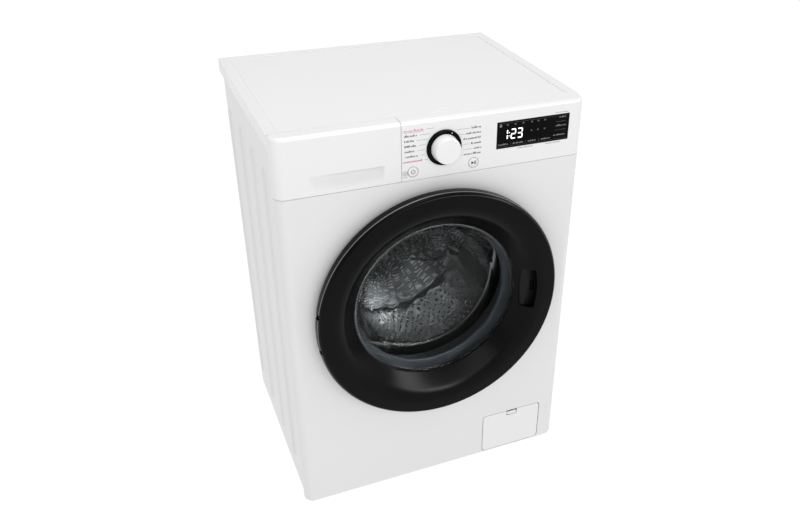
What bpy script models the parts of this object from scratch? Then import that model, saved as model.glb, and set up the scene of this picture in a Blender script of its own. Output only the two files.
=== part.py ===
"""Front-loading washing machine as an assembly of separate solids.

Frame: metres, +X to the right, the front faces -Y, +Z up. The origin is on the floor, under the
middle of the bounding box. Depths are stated from the front panel's outer face and turned into Y
by at_depth(), so a depth of 0 is the front panel and a negative depth stands proud of it.
"""

import math

import bmesh
import bpy
from mathutils import Matrix, Vector

# ---- Driving dimensions (metres) ---------------------------------------------------------------
WIDTH = 0.600            # over the worktop and the front panel
HEIGHT = 0.850           # floor to worktop
BODY_DEPTH = 0.475       # front panel to the back edge of the worktop
DOOR_PROUD = 0.034       # door ring in front of the front panel
GAP = 0.0003             # clearance between touching pieces
SEAM = 0.0008            # visible joint between two panels

PANEL_BOTTOM = 0.015     # underside of the cabinet
SEAM_HEIGHT = 0.738      # joint between the front panel and the controls above it
CORNER_RADIUS = 0.020    # vertical front corners
WORKTOP_THICK = 0.027
SHEET = 0.0012           # cabinet sheet steel

DRUM_HEIGHT = 0.464      # centre of the door, tub and drum
DOOR_RADIUS = 0.2527
OPENING_RADIUS = 0.190   # hole in the front panel
TUB_RADIUS = 0.262
TUB_WALL = 0.0045
DRUM_RADIUS = 0.240
DRUM_MOUTH = 0.163
SHAFT_RADIUS = 0.0125

DIAL_X, DIAL_Z = 0.010, 0.7935
POWER_X, START_X, BUTTON_Z = -0.0496, 0.0691, 0.7549
BUTTON_RADIUS = 0.0092
DRAWER_EDGE_X = -0.0710  # joint between the drawer front and the fascia
FOOT_X, FOOT_DEPTHS = 0.270, (0.040, 0.425)

SPRING_TOP = 0.7330      # underside of the angles that the springs hang from
HINGE_X, HINGE_DEPTH = -0.240, -0.018
LATCH_X, LATCH_DEPTH = 0.2067, -0.008
FLAP_X = (0.1153, 0.2567)
FLAP_Z = (0.0225, 0.1237)
FILTER_X, FILTER_Z = 0.205, 0.072

ROUND = 48               # sides of the door's round pieces
INNER_ROUND = 36         # sides of the tub, drum and motor
SMALL_ROUND = 20         # sides of the small round pieces

# Worked out from the above
FRONT_Y = -(BODY_DEPTH - DOOR_PROUD) / 2
HALF = WIDTH / 2
SIDE_X = HALF - 0.0045   # outer face of the side panels, under the worktop's lip
SIDE_FRONT = CORNER_RADIUS + 0.0025
WORKTOP_UNDER = HEIGHT - WORKTOP_THICK


def at_depth(depth):
    """Y of a plane the given depth behind the front panel's outer face."""
    return FRONT_Y + depth


# ---- Materials ---------------------------------------------------------------------------------
def material(name, colour, roughness, metallic=0.0, alpha=1.0):
    made = bpy.data.materials.new(name)
    made.use_nodes = True
    shader = made.node_tree.nodes["Principled BSDF"]
    shader.inputs["Base Color"].default_value = (*colour, 1.0)
    shader.inputs["Roughness"].default_value = roughness
    shader.inputs["Metallic"].default_value = metallic
    shader.inputs["Alpha"].default_value = alpha
    made.diffuse_color = (*colour, alpha)
    return made


# ---- Shape helpers -----------------------------------------------------------------------------
def finish_mesh(name, mesh_data, look, smooth_degrees=None):
    """Turn a bmesh into a named object with its material, faces pointing out."""
    bmesh.ops.recalc_face_normals(mesh_data, faces=mesh_data.faces)
    mesh = bpy.data.meshes.new(name)
    mesh_data.to_mesh(mesh)
    mesh_data.free()
    if smooth_degrees:
        mesh.shade_smooth()
        mesh.set_sharp_from_angle(angle=math.radians(smooth_degrees))
    made = bpy.data.objects.new(name, mesh)
    bpy.context.scene.collection.objects.link(made)
    if look:
        mesh.materials.append(look)
    return made


def box(name, xs, depths, zs, look=None):
    """A block between two X values, two depths and two heights."""
    low = Vector((xs[0], at_depth(depths[0]), zs[0]))
    high = Vector((xs[1], at_depth(depths[1]), zs[1]))
    mesh_data = bmesh.new()
    placed = Matrix.Translation((low + high) / 2) @ Matrix.Diagonal((*(high - low), 1.0))
    bmesh.ops.create_cube(mesh_data, size=1.0, matrix=placed)
    return finish_mesh(name, mesh_data, look)


def prism(name, outline, place, low, high, look=None, smooth_degrees=None):
    """Extrude a closed outline. place(a, b, along) turns outline values into a world point."""
    mesh_data = bmesh.new()
    ends = [[mesh_data.verts.new(place(a, b, along)) for a, b in outline] for along in (low, high)]
    mesh_data.faces.new(ends[0])
    mesh_data.faces.new(list(reversed(ends[1])))
    count = len(outline)
    for i in range(count):
        following = (i + 1) % count
        mesh_data.faces.new((ends[0][i], ends[1][i], ends[1][following], ends[0][following]))
    return finish_mesh(name, mesh_data, look, smooth_degrees)


def upright(x, depth, z):
    """Outline in plan (x, depth), extruded in height."""
    return (x, at_depth(depth), z)


def facing(x, z, depth):
    """Outline seen from the front (x, z), extruded in depth."""
    return (x, at_depth(depth), z)


def lying(depth, z, x):
    """Outline seen from the side (depth, z), extruded in width."""
    return (x, at_depth(depth), z)


def turned(name, profile, place, look=None, sides=ROUND, smooth_degrees=40):
    """Revolve a closed profile of (radius, along) points. Points of radius 0 lie on the axis."""
    mesh_data = bmesh.new()
    rings = []
    for radius, along in profile:
        if radius == 0:
            rings.append([mesh_data.verts.new(place(0, 0, along))])
            continue
        turns = [2 * math.pi * i / sides for i in range(sides)]
        rings.append([mesh_data.verts.new(place(radius * math.cos(t), radius * math.sin(t), along))
                      for t in turns])
    for first, second in zip(rings, rings[1:] + rings[:1]):
        if len(first) == 1 and len(second) == 1:
            continue
        for i in range(sides):
            corners = [first[i % len(first)], first[(i + 1) % len(first)],
                       second[(i + 1) % len(second)], second[i % len(second)]]
            mesh_data.faces.new(list(dict.fromkeys(corners)))
    return finish_mesh(name, mesh_data, look, smooth_degrees)


def about_y(x, z):
    """Placing function for turning about a front-to-back axis through (x, z)."""
    return lambda a, b, depth: (x + a, at_depth(depth), z + b)


def about_z(x, depth):
    """Placing function for turning about an upright axis through (x, depth)."""
    return lambda a, b, z: (x + a, at_depth(depth) + b, z)


def about_x(depth, z):
    """Placing function for turning about a left-to-right axis through (depth, z)."""
    return lambda a, b, x: (x, at_depth(depth) + a, z + b)


def disc(name, place, radius, low, high, look=None, sides=SMALL_ROUND):
    return turned(name, [(0, low), (radius, low), (radius, high), (0, high)], place, look, sides)


def swept(name, points, radius, look, sides=8):
    """A round bar along a list of points, with flat ends."""
    mesh_data = bmesh.new()
    path = [Vector(p) for p in points]
    rings = []
    side = None
    for i, point in enumerate(path):
        ahead = (path[min(i + 1, len(path) - 1)] - path[max(i - 1, 0)]).normalized()
        if side is None:
            side = ahead.orthogonal().normalized()
        side = (side - ahead * side.dot(ahead)).normalized()
        other = ahead.cross(side)
        turns = [2 * math.pi * k / sides for k in range(sides)]
        rings.append([mesh_data.verts.new(point + radius * (math.cos(t) * side + math.sin(t) * other))
                      for t in turns])
    for first, second in zip(rings, rings[1:]):
        for k in range(sides):
            following = (k + 1) % sides
            mesh_data.faces.new((first[k], first[following], second[following], second[k]))
    mesh_data.faces.new(rings[0])
    mesh_data.faces.new(rings[-1])
    return finish_mesh(name, mesh_data, look, 60)


def smooth_path(points, steps):
    """Catmull-Rom curve through the points, with the given number of steps in each span."""
    ends = [Vector(p) for p in points]
    ends = [2 * ends[0] - ends[1]] + ends + [2 * ends[-1] - ends[-2]]
    path = []
    for a, b, c, d in zip(ends, ends[1:], ends[2:], ends[3:]):
        for k in range(steps):
            t = k / steps
            path.append(0.5 * (2 * b + (c - a) * t + (2 * a - 5 * b + 4 * c - d) * t ** 2
                               + (3 * b - a - 3 * c + d) * t ** 3))
    return path + [ends[-2]]


def combine(target, tool, operation):
    """Cut or join with a helper that is left out of the build."""
    tool.hide_render = True
    tool.display_type = "WIRE"
    change = target.modifiers.new(tool.name, "BOOLEAN")
    change.operation = operation
    change.solver = "EXACT"
    change.object = tool


def cut(target, *tools):
    for tool in tools:
        combine(target, tool, "DIFFERENCE")


def join(target, *tools):
    for tool in tools:
        combine(target, tool, "UNION")


def arc(centre, radius, start_degrees, end_degrees, steps):
    """Points on an arc, both ends included."""
    turns = [math.radians(start_degrees + (end_degrees - start_degrees) * i / steps)
             for i in range(steps + 1)]
    return [(centre[0] + radius * math.cos(t), centre[1] + radius * math.sin(t)) for t in turns]


def rounded_rectangle(low, high, radius, steps=4):
    (left, bottom), (right, top) = low, high
    return (arc((right - radius, bottom + radius), radius, -90, 0, steps)
            + arc((right - radius, top - radius), radius, 0, 90, steps)
            + arc((left + radius, top - radius), radius, 90, 180, steps)
            + arc((left + radius, bottom + radius), radius, 180, 270, steps))


def moving(joint, origin, members):
    """Parent the pieces of one moving body to an empty on its joint's axis."""
    pivot = bpy.data.objects.new(joint, None)
    pivot.location = origin
    bpy.context.scene.collection.objects.link(pivot)
    for member in members:
        member.parent = pivot
        member.matrix_parent_inverse = Matrix.Translation(-Vector(origin))


# ---- Cabinet -----------------------------------------------------------------------------------
def corner_plan(x_sign, inset):
    """Plan of one rounded front corner, from the side towards the middle, inset from outside."""
    centre = (x_sign * (HALF - CORNER_RADIUS), CORNER_RADIUS)
    start = 180 if x_sign < 0 else 0
    return arc(centre, CORNER_RADIUS - inset, start, 270 if x_sign < 0 else -90, 6)


def base_frame(steel):
    """Folded tray that carries the feet and dampers, open at the front and back."""
    left, low, rim = 0.290, PANEL_BOTTOM, 0.030
    outline = [(-left, low), (left, low), (left, low + rim), (left - 0.0015, low + rim),
               (left - 0.0015, low + 0.0015), (-left + 0.0015, low + 0.0015),
               (-left + 0.0015, low + rim), (-left, low + rim)]
    made = prism("base_frame", outline, facing, 0.0245, 0.4565, steel)
    for x in (-FOOT_X, FOOT_X):
        for depth in FOOT_DEPTHS:
            cut(made, disc("foot_hole", about_z(x, depth), 0.0065, 0.010, 0.022, sides=12))
    return made


def side_panel(name, sign, paint):
    """Sheet with a flange along its front and back edges and a welded angle for the spring."""
    front, back, flange = SIDE_FRONT, BODY_DEPTH - 0.0165, 0.018
    outline = [(SIDE_X, front), (SIDE_X, back), (SIDE_X - flange, back),
               (SIDE_X - flange, back - SHEET), (SIDE_X - SHEET, back - SHEET),
               (SIDE_X - SHEET, front + SHEET), (SIDE_X - flange, front + SHEET),
               (SIDE_X - flange, front)]
    outline = [(sign * x, depth) for x, depth in outline]
    made = prism(name, outline, upright, PANEL_BOTTOM + 0.0025, WORKTOP_UNDER - 0.0005, paint)
    weld = SIDE_X - SHEET / 2
    angle = [(weld, 0.7000), (weld, SPRING_TOP + 0.0035), (0.2220, SPRING_TOP + 0.0035),
             (0.2220, SPRING_TOP), (weld - 0.0035, SPRING_TOP), (weld - 0.0035, 0.7000)]
    join(made, prism("spring_angle", [(sign * x, z) for x, z in angle], facing, 0.1800, 0.2200))
    return made


def rear_panel(steel):
    made = box("rear_panel", (-0.2925, 0.2925), (0.4588, 0.4600), (0.0175, 0.8215), steel)
    cut(made,
        disc("service_hole", about_y(0, DRUM_HEIGHT), 0.150, 0.45, 0.47, sides=INNER_ROUND),
        disc("valve_hole", about_y(-0.190, 0.790), 0.0160, 0.45, 0.47),
        disc("drain_hole", about_y(0.240, 0.120), 0.0190, 0.45, 0.47),
        disc("mains_hole", about_y(0.215, 0.780), 0.0080, 0.45, 0.47))
    return made


def rear_cover(steel):
    """Dished round plate over the motor."""
    profile = [(0, 0.4688), (0.149, 0.4688), (0.159, 0.4603), (0.178, 0.4603), (0.178, 0.4615),
               (0.160, 0.4615), (0.150, 0.4700), (0, 0.4700)]
    return turned("rear_cover", profile, about_y(0, DRUM_HEIGHT), steel, INNER_ROUND)


def front_panel(paint):
    """One sheet with rounded vertical corners and holes for the door, hinge, latch and flap."""
    thick = 0.0015
    outline = (corner_plan(-1, 0) + list(reversed(corner_plan(1, 0)))
               + corner_plan(1, thick) + list(reversed(corner_plan(-1, thick))))
    made = prism("front_panel", outline, upright, PANEL_BOTTOM, SEAM_HEIGHT - SEAM / 2, paint, 30)
    hole = rounded_rectangle((FLAP_X[0] - SEAM, FLAP_Z[0] - 0.001),
                             (FLAP_X[1] + SEAM, FLAP_Z[1] + SEAM), 0.008)
    cut(made,
        disc("door_opening", about_y(0, DRUM_HEIGHT), OPENING_RADIUS, -0.01, 0.01, sides=ROUND),
        prism("flap_hole", hole, facing, -0.01, 0.01),
        box("latch_slot", (0.1990, 0.2160), (-0.01, 0.01), (0.4510, 0.4770)))
    for side in (-1, 1):
        middle = DRUM_HEIGHT + side * 0.040
        cut(made, box("hinge_slot", (-0.2440, -0.2360), (-0.01, 0.01), (middle - 0.005, middle + 0.005)))
    return made


def worktop(plastic, board):
    """Laminated board held in a plastic rim with a lip over the side panels."""
    front, back = 0.0285, BODY_DEPTH
    rim = box("worktop_rim", (-HALF, HALF), (front, back), (WORKTOP_UNDER, HEIGHT), plastic)
    cut(rim,
        box("board_recess", (-0.2790, 0.2790), (0.0370, 0.4560), (0.8330, 0.86)),
        box("board_through", (-0.2700, 0.2700), (0.0460, 0.4470), (0.80, 0.84)))
    top = box("worktop_board", (-0.2787, 0.2787), (0.0373, 0.4557), (0.8333, HEIGHT - 0.0005), board)
    return [rim, top]


# ---- Controls ----------------------------------------------------------------------------------
def control_panel(plastic):
    """Hollow fascia that also takes in the right front corner and a strip of the top."""
    left, low = DRAWER_EDGE_X + SEAM / 2, SEAM_HEIGHT + SEAM / 2
    wall, strip = 0.003, 0.0280
    outline = [(HALF, strip), (left, strip), (left, 0)] + list(reversed(corner_plan(1, 0)))
    inside = [(HALF - wall, strip + 0.01), (left + wall, strip + 0.01), (left + wall, wall)]
    inside += list(reversed(corner_plan(1, wall)))
    made = prism("control_panel", outline, upright, low, HEIGHT, plastic, 30)
    cut(made,
        prism("fascia_hollow", inside, upright, low - 0.01, HEIGHT - wall),
        box("side_notch", (HALF - 0.01, HALF + 0.01), (CORNER_RADIUS + 0.0015, 0.05),
            (0.70, WORKTOP_UNDER)),
        disc("dial_hole", about_y(DIAL_X, DIAL_Z), 0.012, -0.01, 0.01),
        box("display_hole", (0.1147, 0.2663), (-0.01, 0.01), (0.7732, 0.8258)))
    for x in (POWER_X, START_X):
        cut(made, disc("button_hole", about_y(x, BUTTON_Z), BUTTON_RADIUS + 0.0006, -0.01, 0.01))
    return made


def dial(white, black):
    skirt = turned("dial_ring", [(0.006, -0.0035), (0.0335, -0.0035), (0.0340, -0.0005), (0.006, -0.0005)],
                   about_y(DIAL_X, DIAL_Z), black, INNER_ROUND)
    profile = [(0, -0.0240), (0.0235, -0.0240), (0.0250, -0.0225), (0.0262, -0.0038),
               (0.0050, -0.0038), (0.0050, 0.0110), (0, 0.0110)]
    knob = turned("dial_knob", profile, about_y(DIAL_X, DIAL_Z), white, INNER_ROUND)
    return [skirt, knob]


def push_button(name, x, white):
    """Round cap, almost flush, on a stem."""
    profile = [(0, -0.0010), (0.0084, -0.0010), (BUTTON_RADIUS, -0.0002), (BUTTON_RADIUS, 0.0025),
               (0.003, 0.0025), (0.003, 0.0095), (0, 0.0095)]
    return turned(name, profile, about_y(x, BUTTON_Z), white, SMALL_ROUND)


# ---- Detergent drawer --------------------------------------------------------------------------
def drawer_front(plastic):
    """Front with a strip of the worktop, the left corner and a finger scoop under the middle."""
    right, low = DRAWER_EDGE_X - SEAM / 2, SEAM_HEIGHT + SEAM / 2
    strip, slab = 0.0280, 0.0165
    outline = corner_plan(-1, 0) + [(right, 0), (right, strip), (-HALF, strip)]
    made = prism("drawer_front", outline, upright, low, HEIGHT, plastic, 30)
    scoop = [(-0.005, 0.7745), (0.0125, 0.7745), (0.0110, 0.7690), (-0.001, 0.7430), (-0.005, 0.7430)]
    taper = [(-0.2700, -0.001), (-0.2250, 0.0135), (-0.1005, 0.0135), (-0.1005, -0.02), (-0.2700, -0.02)]
    finger = prism("finger_scoop", scoop, lying, -0.2700, -0.1005)
    combine(finger, prism("finger_taper", taper, upright, 0.73, 0.79), "INTERSECT")
    cut(made,
        box("drawer_hollow", (-0.2970, right + 0.01), (slab, 0.05), (0.70, 0.8380)),
        box("drawer_side_notch", (-0.31, -0.29), (CORNER_RADIUS + 0.0015, 0.05), (0.70, WORKTOP_UNDER)),
        finger)
    return made


def drawer_tray(plastic):
    """Open tray with three compartments: pre-wash, softener and main wash."""
    made = box("drawer_tray", (-0.2740, -0.0840), (0.0168, 0.285), (0.7505, 0.8120), plastic)
    for xs in ((-0.2715, -0.2150), (-0.2125, -0.1560), (-0.1535, -0.0865)):
        cut(made, box("compartment", xs, (0.0193, 0.2825), (0.7530, 0.83)))
    return made


def dispenser_housing(plastic):
    """Box that the tray slides in, open at the front."""
    made = box("dispenser_housing", (-0.2780, -0.0800), (0.030, 0.300), (0.7465, 0.8215), plastic)
    cut(made, box("housing_hollow", (-0.2755, -0.0825), (0.02, 0.2975), (0.7490, 0.8190)))
    return made


# ---- Door --------------------------------------------------------------------------------------
def hinge_clearance(left):
    """Room in the back of the door for the hinge arm and for the two lugs of the bracket."""
    tools = [box("arm_pocket", (left, -0.2045), (-0.0235, 0.01),
                 (DRUM_HEIGHT - 0.0360, DRUM_HEIGHT + 0.0360))]
    for side in (-1, 1):
        middle = DRUM_HEIGHT + side * 0.040
        tools.append(box("lug_notch", (-0.2600, -0.2340), (-0.0290, 0.01), (middle - 0.0055, middle + 0.0055)))
    return tools


def door_outer_ring(black):
    """Flat-faced ring whose inner side slopes back to the glass, with a finger pocket on the right."""
    profile = [(DOOR_RADIUS, -0.0128), (DOOR_RADIUS, -0.0275), (0.2505, -0.0318), (0.2455, -DOOR_PROUD),
               (0.2130, -DOOR_PROUD), (0.2080, -0.0328), (0.1715, 0.0030), (0.1760, 0.0030),
               (0.1915, -0.0128)]
    made = turned("door_outer_ring", profile, about_y(0, DRUM_HEIGHT), black, ROUND, 30)
    cut(made,
        box("finger_pocket", (0.1840, 0.2280), (-0.0300, 0.01), (DRUM_HEIGHT - 0.045, DRUM_HEIGHT + 0.045)),
        *hinge_clearance(-0.2455))
    return made


def door_inner_frame(black):
    """Back shell of the door, with a collar that traps the glass and a slot for the latch hook."""
    profile = [(0.1922, -0.0125), (0.1772, 0.0028), (0.1772, 0.0078), (0.1700, 0.0078),
               (0.1700, 0.0118), (0.1835, 0.0118), (0.1835, -0.0030), (0.2480, -0.0030),
               (0.2515, -0.0125)]
    made = turned("door_inner_frame", profile, about_y(0, DRUM_HEIGHT), black, ROUND, 30)
    cut(made, box("hook_slot", (0.2010, 0.2125), (-0.02, 0.01), (0.4530, 0.4750)), *hinge_clearance(-0.26))
    return made


def door_glass(glass):
    """Deep glass bowl with a flange."""
    profile = [(0, 0.0615), (0.1310, 0.0615), (0.1450, 0.0480), (0.1635, 0.0050), (0.1655, 0.0034),
               (0.1768, 0.0034), (0.1768, 0.0074), (0.1680, 0.0074), (0.1500, 0.0495),
               (0.1410, 0.0620), (0.1300, 0.0662), (0, 0.0662)]
    return turned("door_glass", profile, about_y(0, DRUM_HEIGHT), glass, ROUND, 60)


def door_hinge(steel, zinc):
    """Bracket behind the front panel with two lugs, the pin through them, and the door's arm."""
    plate = box("door_hinge_bracket", (-0.2700, -0.2352), (0.0018, 0.0045),
                (DRUM_HEIGHT - 0.066, DRUM_HEIGHT + 0.066), steel)
    for side in (-1, 1):
        middle = DRUM_HEIGHT + side * 0.040
        low, high = middle - 0.004, middle + 0.004
        join(plate,
             box("lug", (HINGE_X - 0.003, HINGE_X + 0.003), (HINGE_DEPTH, 0.003), (low, high)),
             disc("lug_eye", about_z(HINGE_X, HINGE_DEPTH), 0.005, low, high))
        cut(plate, disc("pin_hole", about_z(HINGE_X, HINGE_DEPTH), 0.0028, low - 0.01, high + 0.01,
                        sides=12))
    pin = disc("door_hinge_pin", about_z(HINGE_X, HINGE_DEPTH), 0.0024, DRUM_HEIGHT - 0.0450,
               DRUM_HEIGHT + 0.0450, steel, 12)
    arm = box("door_hinge_arm", (HINGE_X - 0.0045, -0.2050), (-0.0225, -0.0040),
              (DRUM_HEIGHT - 0.0355, DRUM_HEIGHT + 0.0355), zinc)
    cut(arm, disc("arm_bore", about_z(HINGE_X, HINGE_DEPTH), 0.0028, 0.40, 0.53, sides=12))
    return plate, pin, arm


def latch_hook(zinc):
    """Barbed hook that pivots in the back of the door."""
    outline = [(0.2045, -0.0115), (0.2085, -0.0115), (0.2085, 0.0160), (0.2065, 0.0205),
               (0.2040, 0.0205), (0.2015, 0.0150), (0.2045, 0.0120)]
    return prism("latch_hook", outline, upright, 0.4560, 0.4720, zinc)


def door_lock(plastic):
    made = box("door_lock", (0.1975, 0.2240), (0.0020, 0.0320), (0.430, 0.505), plastic)
    cut(made, box("lock_slot", (0.1998, 0.2150), (-0.01, 0.0270), (0.4520, 0.4760)))
    return made


def gasket(rubber):
    """Folded bellows from the edge of the front panel to the collar of the tub."""
    middle = [(0.1930, 0.0035), (0.1872, 0.0060), (0.1865, 0.0220), (0.1606, 0.0305),
              (0.1660, 0.0365), (0.1870, 0.0410), (0.1812, 0.0500), (0.1812, 0.0620)]
    half = 0.0011
    path = [Vector(p) for p in middle]
    offsets = []
    for i, point in enumerate(path):
        ahead = (path[min(i + 1, len(path) - 1)] - path[max(i - 1, 0)]).normalized()
        offsets.append(half * Vector((-ahead.y, ahead.x)))
    profile = [tuple(p + o) for p, o in zip(path, offsets)]
    profile += [tuple(p - o) for p, o in reversed(list(zip(path, offsets)))]
    return turned("gasket", profile, about_y(0, DRUM_HEIGHT), rubber, ROUND, 40)


# ---- Tub, suspended in the cabinet ---------------------------------------------------------------
def tub_front(plastic):
    inner = TUB_RADIUS - TUB_WALL
    profile = [(TUB_RADIUS, 0.2248), (TUB_RADIUS, 0.0690), (0.1790, 0.0690), (0.1790, 0.0500),
               (0.1745, 0.0500), (0.1745, 0.0735), (inner, 0.0735), (inner, 0.2248)]
    return turned("tub_front", profile, about_y(0, DRUM_HEIGHT), plastic, INNER_ROUND)


def tub_rear(plastic):
    """Rear half with the bearing hub in its back wall."""
    inner = TUB_RADIUS - TUB_WALL
    profile = [(inner, 0.2252), (inner, 0.3795), (0.0450, 0.3795), (0.0450, 0.3762),
               (0.0264, 0.3762), (0.0264, 0.4118), (0.0450, 0.4118), (0.0450, 0.3842),
               (TUB_RADIUS, 0.3842), (TUB_RADIUS, 0.2252)]
    return turned("tub_rear", profile, about_y(0, DRUM_HEIGHT), plastic, INNER_ROUND)


def counterweight(name, start, end, concrete):
    """Part of a ring in front of the tub."""
    centre = (0, DRUM_HEIGHT)
    outline = arc(centre, 0.254, start, end, 12) + arc(centre, 0.197, end, start, 12)
    return prism(name, outline, facing, 0.0240, 0.0655, concrete, 30)


def heater(steel):
    """U-shaped element under the drum."""
    radius, spread = 0.2488, math.radians(7)
    path = []
    for side in (-1, 1):
        turn = -math.pi / 2 + side * spread
        leg = [(radius * math.cos(turn), at_depth(d), DRUM_HEIGHT + radius * math.sin(turn))
               for d in (0.375, 0.250, 0.125)]
        path += leg if side < 0 else list(reversed(leg))
    bend_start = -math.pi / 2 - spread
    bend = []
    for i in range(1, 6):
        share = i / 6
        turn = bend_start + 2 * spread * share
        depth = 0.125 - 0.018 * math.sin(math.pi * share)
        bend.append((radius * math.cos(turn), at_depth(depth), DRUM_HEIGHT + radius * math.sin(turn)))
    return swept("heater", path[:3] + bend + path[3:], 0.0030, steel)


def bearing(name, depth, steel):
    return turned(name, [(SHAFT_RADIUS + 0.0004, depth), (0.0260, depth), (0.0260, depth + 0.014),
                         (SHAFT_RADIUS + 0.0004, depth + 0.014)],
                  about_y(0, DRUM_HEIGHT), steel, SMALL_ROUND)


def stator(copper):
    return turned("stator", [(0.0520, 0.3850), (0.1150, 0.3850), (0.1150, 0.4080), (0.0520, 0.4080)],
                  about_y(0, DRUM_HEIGHT), copper, INNER_ROUND)


# ---- Drum and drive, turning together --------------------------------------------------------------
def drum_shell(steel):
    """Drum with its back wall and the lip around its mouth."""
    thick = 0.0015
    profile = [(0, 0.3503), (0, 0.3518), (DRUM_RADIUS, 0.3518), (DRUM_RADIUS, 0.0900),
               (DRUM_MOUTH + 0.004, 0.0900), (DRUM_MOUTH, 0.0925), (DRUM_MOUTH, 0.0990),
               (DRUM_MOUTH + thick, 0.0990), (DRUM_MOUTH + 0.005, 0.0915),
               (DRUM_RADIUS - thick, 0.0915), (DRUM_RADIUS - thick, 0.3503)]
    return turned("drum_shell", profile, about_y(0, DRUM_HEIGHT), steel, INNER_ROUND)


def lifter(name, degrees, plastic):
    """Ridge along the inside of the drum wall, narrower towards the axis."""
    outward, tip = 0.2350, 0.1900
    turn = math.radians(degrees)

    def place(across, towards, depth):
        x = towards * math.cos(turn) - across * math.sin(turn)
        z = towards * math.sin(turn) + across * math.cos(turn)
        return (x, at_depth(depth), DRUM_HEIGHT + z)

    outline = [(-0.030, outward), (0.030, outward), (0.020, 0.2130), (0.010, tip), (-0.010, tip),
               (-0.020, 0.2130)]
    return prism(name, outline, place, 0.1100, 0.3350, plastic)


def spider(aluminium):
    """Three arms that carry the drum's back wall, with a hub for the shaft."""
    outline = []
    for k in range(3):
        turn = math.radians(90 + 120 * k)
        for away, across in ((0.232, -0.018), (0.232, 0.018)):
            x = away * math.cos(turn) - across * math.sin(turn)
            z = away * math.sin(turn) + across * math.cos(turn)
            outline.append((x, DRUM_HEIGHT + z))
        outline += arc((0, DRUM_HEIGHT), 0.046, 90 + 120 * k + 35, 90 + 120 * k + 85, 4)
    return prism("spider", outline, facing, 0.3522, 0.3660, aluminium)


def drive_shaft(steel):
    return disc("shaft", about_y(0, DRUM_HEIGHT), SHAFT_RADIUS, 0.3663, 0.4320, steel)


def rotor(steel):
    """Shallow cup around the stator, held on the shaft."""
    hub = SHAFT_RADIUS + 0.0004
    profile = [(hub, 0.4130), (0.0300, 0.4130), (0.0300, 0.4245), (0.1270, 0.4245), (0.1270, 0.3870),
               (0.1310, 0.3870), (0.1310, 0.4285), (hub, 0.4285)]
    return turned("rotor", profile, about_y(0, DRUM_HEIGHT), steel, INNER_ROUND)


# ---- Suspension --------------------------------------------------------------------------------------
def spring(name, x, steel):
    """Coil with a straight leg at each end, hanging from its bracket."""
    low, high, coil_radius, turns, steps = 0.6120, 0.7240, 0.0095, 7, 8
    path = [(x, at_depth(0.200), 0.5830), (x, at_depth(0.200), low - 0.006)]
    for i in range(turns * steps + 1):
        angle = 2 * math.pi * i / steps
        z = low + (high - low) * i / (turns * steps)
        path.append((x + coil_radius * math.cos(angle), at_depth(0.200) + coil_radius * math.sin(angle), z))
    path += [(x, at_depth(0.200), high + 0.005), (x, at_depth(0.200), SPRING_TOP - GAP)]
    return swept(name, path, 0.0013, steel, 4)


def damper(side, x, plastic, steel):
    """Friction damper: a cylinder standing on the base and a rod hanging from the tub."""
    place = about_z(x, 0.250)
    profile = [(0, 0.0168), (0.0125, 0.0168), (0.0125, 0.1500), (0.0058, 0.1500), (0.0058, 0.0300),
               (0, 0.0300)]
    cylinder = turned(f"damper_cylinder_{side}", profile, place, plastic, 16)
    rod = disc(f"damper_rod_{side}", place, 0.0050, 0.0800, 0.2460, steel, 16)
    return cylinder, rod


# ---- Drain, water and mains --------------------------------------------------------------------------
def service_recess(plastic):
    """Tray behind the flap, with a hole for the filter cap."""
    made = box("service_recess", (0.1120, 0.2600), (0.0018, 0.0450), (0.0185, 0.1270), plastic)
    cut(made,
        box("recess_hollow", (0.1140, 0.2580), (-0.01, 0.0430), (0.0205, 0.1250)),
        disc("filter_hole", about_y(FILTER_X, FILTER_Z), 0.0310, 0.03, 0.06))
    return made


def flap(plastic):
    """Service flap, flush with the front panel, with a finger notch in its top edge."""
    outline = rounded_rectangle((FLAP_X[0], FLAP_Z[0]), (FLAP_X[1], FLAP_Z[1]), 0.0075)
    made = prism("service_flap", outline, facing, 0.0, 0.0025, plastic)
    cut(made, box("flap_notch", (0.1740, 0.1980), (-0.01, 0.01), (0.1165, 0.13)))
    return made


def pump_filter(plastic):
    profile = [(0, 0.0200), (0.0285, 0.0200), (0.0285, 0.0320), (0.0235, 0.0320), (0.0235, 0.0900),
               (0, 0.0900)]
    made = turned("pump_filter", profile, about_y(FILTER_X, FILTER_Z), plastic, SMALL_ROUND)
    join(made, box("filter_grip", (FILTER_X - 0.004, FILTER_X + 0.004), (0.0100, 0.0220),
                   (FILTER_Z - 0.023, FILTER_Z + 0.023)))
    return made


def drain_pump(plastic):
    """Filter chamber with the pump behind it and an inlet spout towards the tub."""
    profile = [(0.0245, 0.0340), (0.0300, 0.0340), (0.0300, 0.0900), (0.0340, 0.1000), (0.0340, 0.1250),
               (0.0270, 0.1300), (0.0270, 0.1750), (0, 0.1750), (0, 0.0980), (0.0245, 0.0980)]
    made = turned("drain_pump", profile, about_y(FILTER_X, FILTER_Z), plastic, SMALL_ROUND)
    join(made, disc("pump_inlet", about_x(0.1120, 0.0850), 0.0150, 0.150, 0.185, sides=16))
    return made


def sump_hose(rubber):
    """Hose from the bottom of the tub to the pump."""
    route = [(0.1485, at_depth(0.1120), 0.0850), (0.1100, at_depth(0.1120), 0.0850),
             (0.0450, at_depth(0.1350), 0.1050), (0.0050, at_depth(0.1480), 0.1500),
             (0.0, at_depth(0.150), 0.2000)]
    return swept("sump_hose", smooth_path(route, 3), 0.0145, rubber, 10)


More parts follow.
